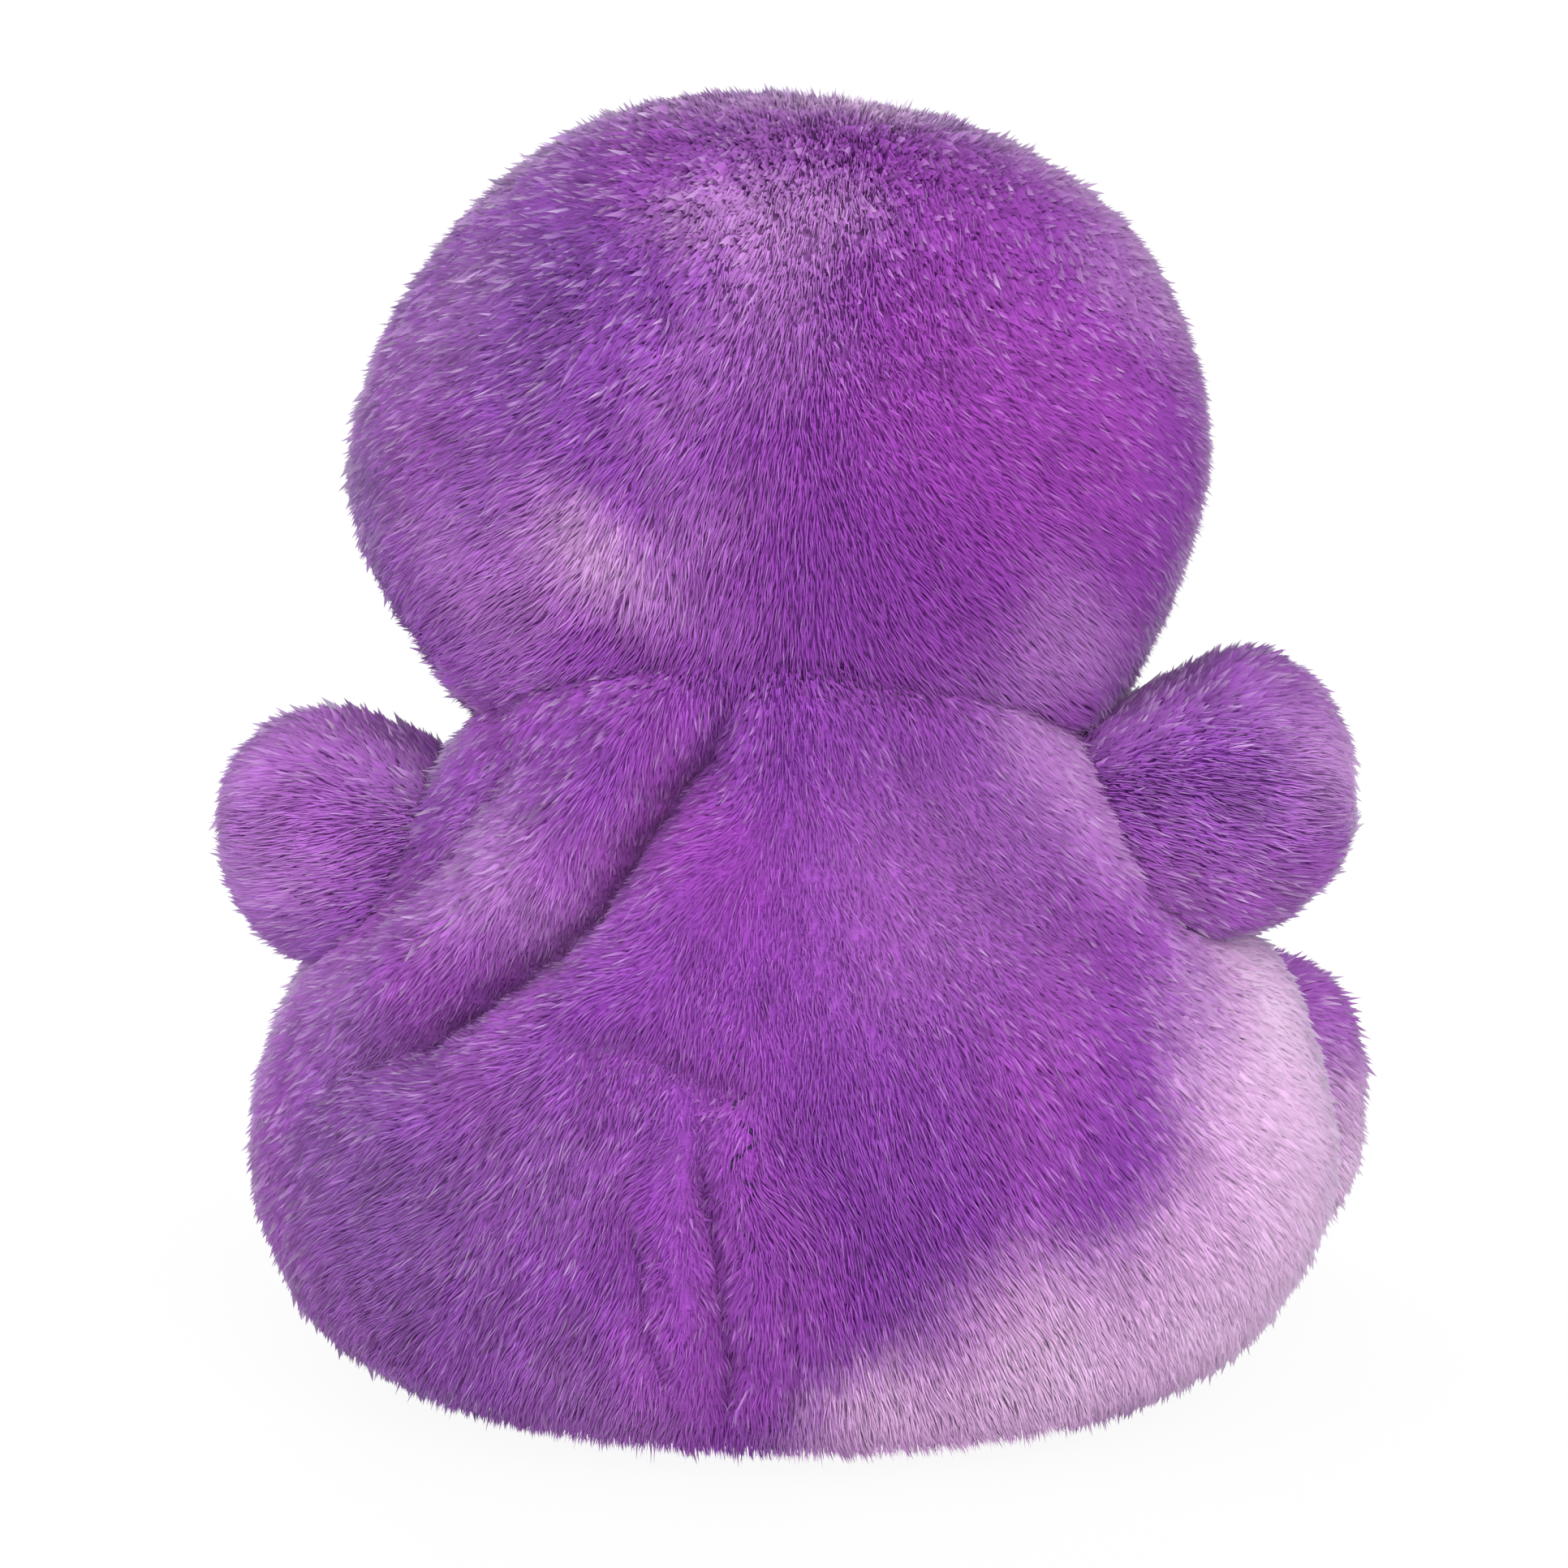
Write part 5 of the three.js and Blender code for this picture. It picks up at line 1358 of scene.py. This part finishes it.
def tubes(courses, outward, radius, sides=7, plies=0.0):
    """Closed tubes: each ring is its course's point + radius * (cos a * rise + sin a * across)."""
    courses = np.asarray(courses)
    count, steps = courses.shape[:2]
    along = unit(np.gradient(courses, axis=1))
    across = unit(np.cross(along, outward))
    rise = np.cross(across, along)
    angle = 2 * np.pi * np.arange(sides) / sides
    end = np.sin(np.pi * (np.arange(steps) + 0.7) / (steps + 0.4)) ** 0.35
    girth = radius * end[:, None] * (1 + 0.13 * np.cos(2 * angle[None] - plies * np.arange(steps)[:, None]))
    ring = np.cos(angle)[:, None] * rise[:, :, None] + np.sin(angle)[:, None] * across[:, :, None]
    grid = (courses[:, :, None] + girth[None, :, :, None] * ring).reshape(count, -1, 3)
    points = np.concatenate([grid, courses[:, :1], courses[:, -1:]], 1)
    faces = closed_faces(steps, sides)[None] + np.arange(count)[:, None, None] * points.shape[1]
    return points.reshape(-1, 3), faces.reshape(-1, 3)


def stitches(spot, starts, ends, height, steps=7):
    """Courses from start to end points on the face: each rises by a sine and dips into the cloth."""
    share = np.linspace(0, 1, steps)
    u = starts[0][:, None] * (1 - share) + ends[0][:, None] * share
    v = starts[1][:, None] * (1 - share) + ends[1][:, None] * share
    return spot.at(u, v, -STITCH_DIP + (height + STITCH_DIP) * np.sin(np.pi * share) ** 0.5)


def circle(count, radius):
    """Points round a circle, as two rows."""
    angle = 2 * np.pi * np.arange(count) / count
    return np.stack([radius * np.cos(angle), radius * np.sin(angle)])


print("felt stands", round((FELT_TOP - FELT_UNDER) / MM, 1), "mm thick")

# %% [markdown]
# Round each eye and on the forehead a sugar skull has a flower. Its petals could be cut one by one,
# but a toy maker cuts one piece of felt and sews grooves between them, and so it is here. A stitch
# runs along each petal, and small ones hold the edge down.

# %% Flowers
def flower(label, spot, reach, look, thread, node, slot):
    """A felt flower: grooved between its petals, a stitch along each, and more round its edge."""
    petals = reach[2]
    angle = 2 * np.pi * np.arange(16 * petals) / (16 * petals)
    swell = np.abs(np.cos(petals * angle / 2))
    radius = flower_reach(angle, *reach)
    rim = circle(len(angle), radius)

    def grooved(share):
        return 1 - 0.55 * (1 - swell[None]) ** 2 * smooth(share, 0.2, 0.9)
    felt_patch(label, spot, rim, grooved, look, node, slot)
    inner, outer = circle(petals, 0.58 * reach[0]), circle(petals, 0.94 * reach[0])
    veins = tubes(stitches(spot, inner, outer, 1.5 * MM), spot.outward, 0.26 * MM)
    sewn_on(label + "_veins", *veins, thread, "head", None, "thread")
    held = np.arange(0, len(angle), 4) + 2
    inner, outer = rim[:, held] * (1 - 0.9 * MM / radius[held]), rim[:, held] * (1 + 0.35 * MM / radius[held])
    edge = tubes(stitches(spot, inner, outer, 1.25 * MM), spot.outward, 0.14 * MM, 6)
    sewn_on(label + "_edging", *edge, look, "head", None, slot)


for name in SIDES:
    flower(f"eye_flower_{name}_felt", eye_spots[name], FLOWER_REACH, teal_felt, mint_thread,
           f"eye_flower_{name}", "teal_felt")
flower("forehead_flower_felt", brow_spot, BROW_REACH, magenta_felt, rose_thread,
       "forehead_flower", "magenta_felt")

# The forehead flower's heart is a knot: one thread wound inwards in a spiral that rises
KNOT_TURNS = 3.5
share = np.linspace(0, 1, 120)
angle = 2 * np.pi * KNOT_TURNS * share
radius = 1.7 * MM * (1 - share) + 0.15 * MM
knot = brow_spot.at(radius * np.cos(angle), radius * np.sin(angle), (1.35 + 0.6 * share) * MM)
sewn_on("forehead_flower_knot", *tubes(knot[None], brow_spot.outward, 0.32 * MM, 7, 0.9), gold_thread,
        "head", None, "thread")

# %% [markdown]
# The nose is a small heart, upside down as on a skull, in satin stitch: close threads side by side
# over a pad. The pad is a felt patch, and its threads are bands in the material, since hundreds of
# real ones would look the same. The mouth is a line of back stitches with seven more across it.

# %% Nose and mouth
def bezier(a, b, c, d, steps=16):
    """A cubic curve: (1-t)^3 a + 3(1-t)^2 t b + 3(1-t) t^2 c + t^3 d."""
    t = np.linspace(0, 1, steps, endpoint=False)[:, None]
    a, b, c, d = (np.array(p) for p in (a, b, c, d))
    return (1 - t) ** 3 * a + 3 * (1 - t) ** 2 * t * b + 3 * (1 - t) * t ** 2 * c + t ** 3 * d


half_heart = np.concatenate([
    bezier((0, -0.5), (0.15, -1), (0.75, -1.05), (0.9, -0.6)),
    bezier((0.9, -0.6), (1.1, -0.1), (0.5, 0.6), (0, 1)),
])
other_half = np.concatenate([[(0, 1)], half_heart[:0:-1] * [-1, 1]])
heart = np.concatenate([half_heart, other_half]).T * NOSE_SIZE
satin = Look("satin_stitch", sheen_weight=0.3)
ply = satin.bands(0.45 * MM, "X", 0.4)
satin.colour(satin.mix(ply, linear("#2b1440"), linear("#552c74")))
satin.roughness(0.35 + 0.2 * ply)
satin.bump(ply, 0.15 * MM)
felt_patch("nose", nose_spot, heart, lambda s: 1.25 - 0.25 * s ** 2, satin, "nose_patch", "thread")

STITCH_OVERLAP = 0.15 * MM
BAR_SPREAD, BAR_HALF_LENGTH = 12 * MM, 2.5 * MM
ends = np.linspace(-MOUTH_HALF_WIDTH, MOUTH_HALF_WIDTH, 13)
line = stitches(mouth_spot, (ends[:-1] - STITCH_OVERLAP, smile(ends[:-1])),
                (ends[1:] + STITCH_OVERLAP, smile(ends[1:])), 0.9 * MM, 9)
bars = np.linspace(-BAR_SPREAD, BAR_SPREAD, 7)
across_line = stitches(mouth_spot, (bars, smile(bars) - BAR_HALF_LENGTH),
                       (bars, smile(bars) + BAR_HALF_LENGTH), 1.15 * MM, 9)
mouth = tubes(np.concatenate([line, across_line]), mouth_spot.outward, 0.42 * MM, 9, 1.2)
sewn_on("mouth", *mouth, dark_thread, "head", "mouth_stitching", "thread")

# %% [markdown]
# A sugar skull is iced with dots and curls. On a plush toy they are sewn, and drawn in a material they
# would look printed. So there is a curl of back stitches on each cheek, a leaf on either side of the
# forehead flower, and small knots on the cheeks, the brow and the chin.

# %% Sewn icing
def knots(label, spot, places, radius, look):
    """Round knots: balls pressed flat into the pile, each of rows round an upright axis."""
    ball = globe(7, 10) * radius
    u, v = (np.array(places) * MM).T
    lift = 0.55 * MM + ball[None, :, 2] * 0.8
    points = spot.at(u[:, None] + ball[None, :, 0], v[:, None] + ball[None, :, 1], lift)
    faces = closed_faces(6, 10)[None] + np.arange(len(u))[:, None, None] * len(ball)
    sewn_on(label, points.reshape(-1, 3), faces.reshape(-1, 3), look, "head", None, "thread")


def chain(label, spot, u, v, look, radius=0.3 * MM):
    """Back stitches along a drawn line of points."""
    course = stitches(spot, (u[:-1], v[:-1]), (u[1:], v[1:]), 0.85 * MM)
    sewn_on(label, *tubes(course, spot.outward, radius, 7, 1.0), look, "head", None, "thread")


for name, side in SIDES.items():
    cheek = Spot(side * 24 * MM, -11 * MM)
    turns = np.linspace(0, 1, 15)
    angle = np.pi * (0.5 + 2.6 * turns)
    reach = 4.6 * MM * (1 - 0.78 * turns)
    chain(f"cheek_curl_{name}", cheek, side * reach * np.cos(angle), reach * np.sin(angle), rose_thread)
    places = [(side * 6.2, 2.5), (side * 6.6, -1.2), (side * 5.2, -4.6)]
    knots(f"cheek_knots_{name}", cheek, places, 0.75 * MM, mint_thread)
    brow = Spot(side * 13 * MM, 17 * MM)
    leaf = np.linspace(-1, 1, 9)
    for edge in (1, -1):
        chain(f"brow_leaf_{name}_{'upper' if edge > 0 else 'lower'}", brow, 4.2 * MM * leaf,
              edge * 1.5 * MM * np.cos(np.pi * leaf / 2) - side * leaf * 1.2 * MM, mint_thread)
knots("brow_knots", brow_spot, [(-3.4, 8.6), (0, 9.6), (3.4, 8.6)], 0.8 * MM, gold_thread)
knots("chin_knots", mouth_spot, [(-4.2, -7.6), (0, -8.4), (4.2, -7.6)], 0.75 * MM, rose_thread)

# %% [markdown]
# The eyes are polished plastic buttons: a dome on a thin rim, with a shank that goes through the
# cloth into a washer. A ball would look alike from the front, but not from the side, so a button is
# its real profile turned round its axis. The washer stays the CAD's own part, in moulded plastic.

# %% Eyes and washers
eye_gloss = Look("eye_gloss", coat_weight=1.0, coat_roughness=0.03)
scuff = eye_gloss.noise(0.8 * MM, 4.0)
eye_gloss.colour(eye_gloss.mix(scuff, linear("#08060a"), linear("#17121a")))
eye_gloss.roughness(0.06 + 0.06 * scuff)
EYE_RADIUS, DOME_FOOT, DOME_RISE = 4.2, 2.1, 2.3  # mm
SHANK_END = -7.6  # mm under the face
EYE_SIDES = 48
turn = np.linspace(0, np.pi / 2, 13)[:-1]
dome = DOME_FOOT + DOME_RISE * np.sin(turn)
reach = np.concatenate([[1.2, 1.4, 1.4, 1.4, 1.6, 3.9, 4.12], EYE_RADIUS * np.cos(turn)]) * MM
height = np.concatenate([[SHANK_END, -7.4, -4, 0, 1.5, 1.62, 1.8], dome]) * MM
angle = 2 * np.pi * np.arange(EYE_SIDES) / EYE_SIDES
for name, spot in eye_spots.items():
    round_axis = np.cos(angle)[:, None] * spot.across + np.sin(angle)[:, None] * spot.up
    rings = spot.middle + height[:, None, None] * spot.outward + reach[:, None, None] * round_axis
    poles = spot.middle + np.array([[SHANK_END], [DOME_FOOT + DOME_RISE]]) * MM * spot.outward
    points = np.concatenate([rings.reshape(-1, 3), poles])
    faces = closed_faces(len(reach), EYE_SIDES)
    sewn_on(f"eye_button_{name}", points, faces, eye_gloss, "head", f"eye_{name}", "eye_gloss")


def dress_node(node, look):
    """A CAD node keeps its shape and gets a better material."""
    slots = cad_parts[node].data.materials
    slots.clear()
    slots.append(look.material)


moulded = Look("moulded_plastic")
grain = moulded.noise(0.5 * MM, 4.0)
moulded.colour(moulded.mix(grain, linear("#d8d6cd"), linear("#e9e7df")))
moulded.roughness(0.5 + 0.15 * grain)
moulded.bump(grain, 0.03 * MM)
for name in SIDES:
    dress_node(f"eye_washer_{name}", moulded)

# %% [markdown]
# The filling is loose fibre, which nobody sees until the toy is opened. Single fibres would cost more
# than they show, so it is a lumpy solid. It takes the CAD's solid, finely remeshed, and noise presses
# its surface in, so it is a little smaller than the cloth round it. Where a fold comes deep, the
# filling gives way to the cloth.

# %% Fibre filling
fibre_fill = Look("fibre_fill", sheen_weight=0.5, sheen_roughness=0.6)
tangle = fibre_fill.noise(1.1 * MM, 8.0, 2.0)
fibre_fill.colour(fibre_fill.mix(tangle, linear("#d9d5cb"), linear("#f6f3ea")))
fibre_fill.roughness(0.8 + 0.15 * tangle)
fibre_fill.bump(tangle, 0.6 * MM)

FIBRE_VOXEL = 1.5 * MM
FIBRE_GAP = 0.8 * MM  # between the filling and its cloth


def slope(depth, points):
    """The way that a depth grows fastest, by its change over a small step along each axis."""
    step = 0.05 * MM
    changes = [depth(points + step * axis) - depth(points - step * axis) for axis in np.eye(3)]
    return unit(np.stack(changes, 1))


def filling(node, body, cloth, seed):
    """Loose fibre in one form."""
    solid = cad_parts[node]
    fill = bpy.data.objects.new("fibre_" + node, solid.data.copy())
    bpy.context.scene.collection.objects.link(fill)
    weld = fill.modifiers.new("weld", "WELD")
    weld.merge_threshold = 0.01 * MM
    remesh = fill.modifiers.new("remesh", "REMESH")
    remesh.mode = "VOXEL"
    remesh.voxel_size = FIBRE_VOXEL
    bpy.context.view_layer.update()
    mesh = bpy.data.meshes.new_from_object(fill.evaluated_get(bpy.context.evaluated_depsgraph_get()))
    fill.modifiers.clear()
    fill.data = mesh
    points = np.empty(len(mesh.vertices) * 3)
    mesh.vertices.foreach_get("co", points)
    points = points.reshape(-1, 3)
    normals = np.empty(len(mesh.vertices) * 3)
    mesh.vertices.foreach_get("normal", normals)
    lump = 0.5 + 0.25 * waves(points, 7 * MM, seed) + 0.15 * waves(points, 3 * MM, seed + 1)
    points = points - normals.reshape(-1, 3) * np.clip(lump, 0, 1.2)[:, None] * MM
    for _ in range(3):
        over = np.maximum(cloth(points) + FIBRE_GAP, 0)
        points = points - slope(cloth, points) * over[:, None]
    mesh.vertices.foreach_set("co", points.ravel())
    mesh.materials.clear()
    mesh.materials.append(fibre_fill.material)
    mesh.polygons.foreach_set("use_smooth", np.ones(len(mesh.polygons), bool))
    mesh.update()
    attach(fill, body)
    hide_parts(node)
    print(fill.name, len(mesh.polygons), "faces")


filling("body_filling", "torso", torso_cloth, 60)
filling("head_filling", "head", head_cloth, 70)
for name in SIDES:
    filling(f"arm_{name}_filling", f"arm_{name}", arm_cloth(name), 80)
    filling(f"leg_{name}_filling", f"leg_{name}", leg_cloth(name), 90)

# %% [markdown]
# A cotton bag of plastic pellets weighs the seat down. The bag is a flat pillow with puckers along
# its sewn edge, so a flat egg with a ridge makes it. The pellets could be dropped in by a simulation,
# but beads in the closest packing, shaken a little, lie as close and are the same on every run.

# %% Pellet bag and pellets
BAG = Egg((0, 7.1 * MM, 14.5 * MM), np.eye(3), 36 * MM, 26 * MM, 26 * MM, 11 * MM, -0.04, 2.6)
BAG_WALL = 0.8 * MM


def bag_cloth(points):
    """The bag with a sewn ridge round its edge and puckers across it."""
    edge = np.exp(-((points[:, 2] - BAG.middle[2]) / (3.5 * MM)) ** 2)
    turn = np.arctan2(points[:, 1] - BAG.middle[1], points[:, 0])
    return BAG.depth(points) + (0.35 + 0.3 * np.cos(46 * turn)) * edge * MM


cotton = Look("bag_cotton", sheen_weight=0.2)
weave = cotton.bands(0.5 * MM, "X", 0.3) * cotton.bands(0.5 * MM, "Y", 0.3)
cotton.colour(cotton.mix(weave + 0.3 * cotton.noise(3 * MM), linear("#c3b89f"), linear("#ddd4bf")))
cotton.roughness(0.7 + 0.15 * weave)
cotton.bump(weave, 0.12 * MM)
bag_skin = Skin(bag_cloth, BAG.middle, 48, 230)
bag = sewn_on("cotton_bag", bag_skin.points, bag_skin.triangles, cotton, "torso", "pellet_bag", "bag_cotton")

BEAD = 1.6 * MM
golden = (1 + 5 ** 0.5) / 2
corners = unit(np.array([
    (-1, golden, 0), (1, golden, 0), (-1, -golden, 0), (1, -golden, 0), (0, -1, golden), (0, 1, golden),
    (0, -1, -golden), (0, 1, -golden), (golden, 0, -1), (golden, 0, 1), (-golden, 0, -1), (-golden, 0, 1),
])) * BEAD
bead_faces = np.array([
    (0, 11, 5), (0, 5, 1), (0, 1, 7), (0, 7, 10), (0, 10, 11), (1, 5, 9), (5, 11, 4), (11, 10, 2), (10, 7, 6),
    (7, 1, 8), (3, 9, 4), (3, 4, 2), (3, 2, 6), (3, 6, 8), (3, 8, 9), (4, 9, 5), (2, 4, 11), (6, 2, 10),
    (8, 6, 7), (9, 8, 1),
])
steps = np.arange(-15, 16)
i, j, k = (axis.ravel() for axis in np.meshgrid(steps, steps, steps, indexing="ij"))
packed = np.stack([i + j, j + k, i + k], 1) * BEAD * 2 ** 0.5 * 1.03
shaken = packed + np.random.default_rng(5).normal(size=packed.shape) * 0.04 * MM + BAG.middle
middles = shaken[BAG.depth(shaken) < -(BAG_WALL + BEAD + 0.3 * MM)]
bead_points = (middles[:, None] + corners[None]).reshape(-1, 3)
faces = (bead_faces[None] + np.arange(len(middles))[:, None, None] * len(corners)).reshape(-1, 3)
plastic_bead = Look("plastic_bead")
milky = plastic_bead.noise(2.5 * MM, 3.0)
plastic_bead.colour(plastic_bead.mix(milky, linear("#d9d9d2"), linear("#efeee8")))
plastic_bead.roughness(0.42 + 0.15 * milky)
plastic_bead.bump(milky, 0.05 * MM)
sewn_on("bag_beads", bead_points, faces, plastic_bead, "torso", "pellets", "pellets")
print(len(middles), "beads")

# %% [markdown]
# The closing seam was sewn by hand from outside, after the toy was filled. Its thread runs to and fro
# across the seam, down in the pile. It isn't a cord on a route of its own: each of its points is laid
# on the cloth, found as the skins' points were.

# %% Closing thread
CLOSING_FOOT, CLOSING_RISE = 14, 32  # mm
CROSSINGS, STEPS_EACH = 13, 8
THREAD_SINK = 0.1 * MM
share = np.linspace(0, 1, CROSSINGS * STEPS_EACH + 1)
height = (CLOSING_FOOT + CLOSING_RISE * share) * MM
sideways = 1.1 * MM * np.cos(CROSSINGS * np.pi * share)
starts = np.stack([sideways, np.zeros(len(share)), height], 1)
backwards = np.tile([0, 1.0, 0], (len(share), 1))
reach = surface_along(lambda p: torso_cloth(p) + THREAD_SINK, starts, backwards, 10 * MM, 60 * MM, 24)
course = (starts + backwards * reach[:, None])[None]
sewn_on("closing_stitches", *tubes(course, backwards[0], 0.27 * MM, 7, 0.8), dark_thread,
        "torso", "closing_thread", "thread")

# %% [markdown]
# The neck seam is a hem, gathered as it is sewn. It lies on the tipped dome on which the head turns,
# so a ring round the dome's line makes it, flat in section and rippled. It could be drawn as a torus,
# but a torus wouldn't follow the dome. A stitch holds it every eight degrees.

# %% Neck seam
NECK_PIVOT = np.array([0, 17.378, 43.734]) * MM
NECK_LINE = np.array([0, -0.5, 0.8660254])
SEAM_RADIUS = 38.9 * MM
SEAM_ANGLE = np.radians(35)  # between the dome's line and its seam
HEM_ROUND, HEM_SIDES, GATHERS = 180, 14, 45
HEM_HALF_WIDTH = 3.2 * MM
turn = 2 * np.pi * np.arange(HEM_ROUND) / HEM_ROUND
sideways = np.array([1.0, 0, 0])
around = np.cos(turn)[:, None] * sideways + np.sin(turn)[:, None] * np.cross(NECK_LINE, sideways)
outward = np.cos(SEAM_ANGLE) * NECK_LINE + np.sin(SEAM_ANGLE) * around
slant = np.cos(SEAM_ANGLE) * around - np.sin(SEAM_ANGLE) * NECK_LINE
section = 2 * np.pi * np.arange(HEM_SIDES) / HEM_SIDES
gather = 0.55 + 0.12 * np.cos(GATHERS * turn)[:, None]
hem = (NECK_PIVOT + SEAM_RADIUS * outward[:, None]
       + HEM_HALF_WIDTH * np.cos(section)[None, :, None] * slant[:, None]
       + MM * (gather * np.sin(section)[None])[..., None] * outward[:, None])
faces = band_faces(HEM_ROUND, HEM_SIDES, HEM_ROUND * HEM_SIDES)
ring = sewn_on("neck_hem", hem.reshape(-1, 3), faces, backing, "neck", "neck_seam", "backing_cloth")
# The hem is dyed dark as painted shade, for the shade in the neck's crease.
add_dye(ring, np.tile(DEEP * 0.27, (len(ring.data.vertices), 1)))

held = np.arange(0, HEM_ROUND, 4)
span = np.linspace(-1, 1, 7)[None, :, None]
lift = SEAM_RADIUS + 0.6 * MM * (1 - span ** 4)
over = NECK_PIVOT + lift * outward[held][:, None] + 2.4 * MM * span * slant[held][:, None]
stitched = tubes(over, outward[held][:, None], 0.2 * MM, 6)
sewn_on("neck_stitches", *stitched, dark_thread, "neck", None, "thread")

# %% [markdown]
# The photograph has a plain white ground and soft light from all sides, brightest from behind the
# toy's right shoulder. The lamps are large, so the fur has no hard shadow. A white floor alone would
# look grey away from the lamps, so floor and sky glow for the camera's rays, and the floor a little
# less than fully, so it still shows a faint shadow.

# %% Light and stage
def lamp(name, place, size, power, colour):
    """A large soft lamp that looks at the toy."""
    data = bpy.data.lights.new(name, "AREA")
    data.shape = "DISK"
    data.size = size
    data.energy = power
    data.color = colour
    light = bpy.data.objects.new(name, data)
    light.location = place
    light.rotation_euler = (AIM - Vector(place)).to_track_quat("-Z", "Y").to_euler()
    bpy.context.scene.collection.objects.link(light)


lamp("key", (-0.45, 1.05, 0.7), 0.9, 11.5, (1, 0.98, 0.98))
lamp("fill", (0.9, 0.7, 0.3), 0.8, 4.5, (0.93, 0.95, 1))
lamp("front", (0.35, -1.15, 0.42), 0.9, 8.5, (1, 1, 1))
print("lamps", [light.name for light in bpy.data.lights])

world = bpy.data.worlds.new("studio")
world.use_nodes = True
bpy.context.scene.world = world
backdrop = world.node_tree.nodes["Background"]
backdrop.inputs["Color"].default_value = (0.93, 0.95, 1, 1)
backdrop.inputs["Strength"].default_value = 0.8


def seen_white(nodes, shader, share, kind):
    """The shader, turned by a share into a white glow for rays that see it straight or mirrored."""
    path = "ShaderNodeLightPath"
    rays = nodes.add(path, output="Is Camera Ray") + nodes.add(path, output="Is Glossy Ray")
    rays = rays + nodes.add(path, output="Is Transmission Ray")
    glow = nodes.add(kind, values={"Color": (1, 1, 1), "Strength": 1.0})
    return nodes.add("ShaderNodeMixShader", values={0: rays * share, 1: shader, 2: glow})


floor_look = Look("floor", base_color=(0.93, 0.93, 0.93), roughness=0.9)
lit = Value(floor_look, floor_look.shader.outputs["BSDF"])
floor_look.put(floor_look.tree.nodes["Material Output"].inputs["Surface"],
               seen_white(floor_look, lit, 0.93, "ShaderNodeEmission"))
sky = Nodes(world.node_tree)
open_sky = Value(sky, backdrop.outputs["Background"])
sky.put(sky.tree.nodes["World Output"].inputs["Surface"],
        seen_white(sky, open_sky, 1.0, "ShaderNodeBackground"))

FLOOR_REACH = 30  # metres to each side, so its edge stays out of sight
floor_corners = FLOOR_REACH * np.array([(-1, -1, 0), (1, -1, 0), (1, 1, 0), (-1, 1, 0)])
floor = mesh_object("floor", floor_corners, np.array([[0, 1, 2], [0, 2, 3]]), floor_look)
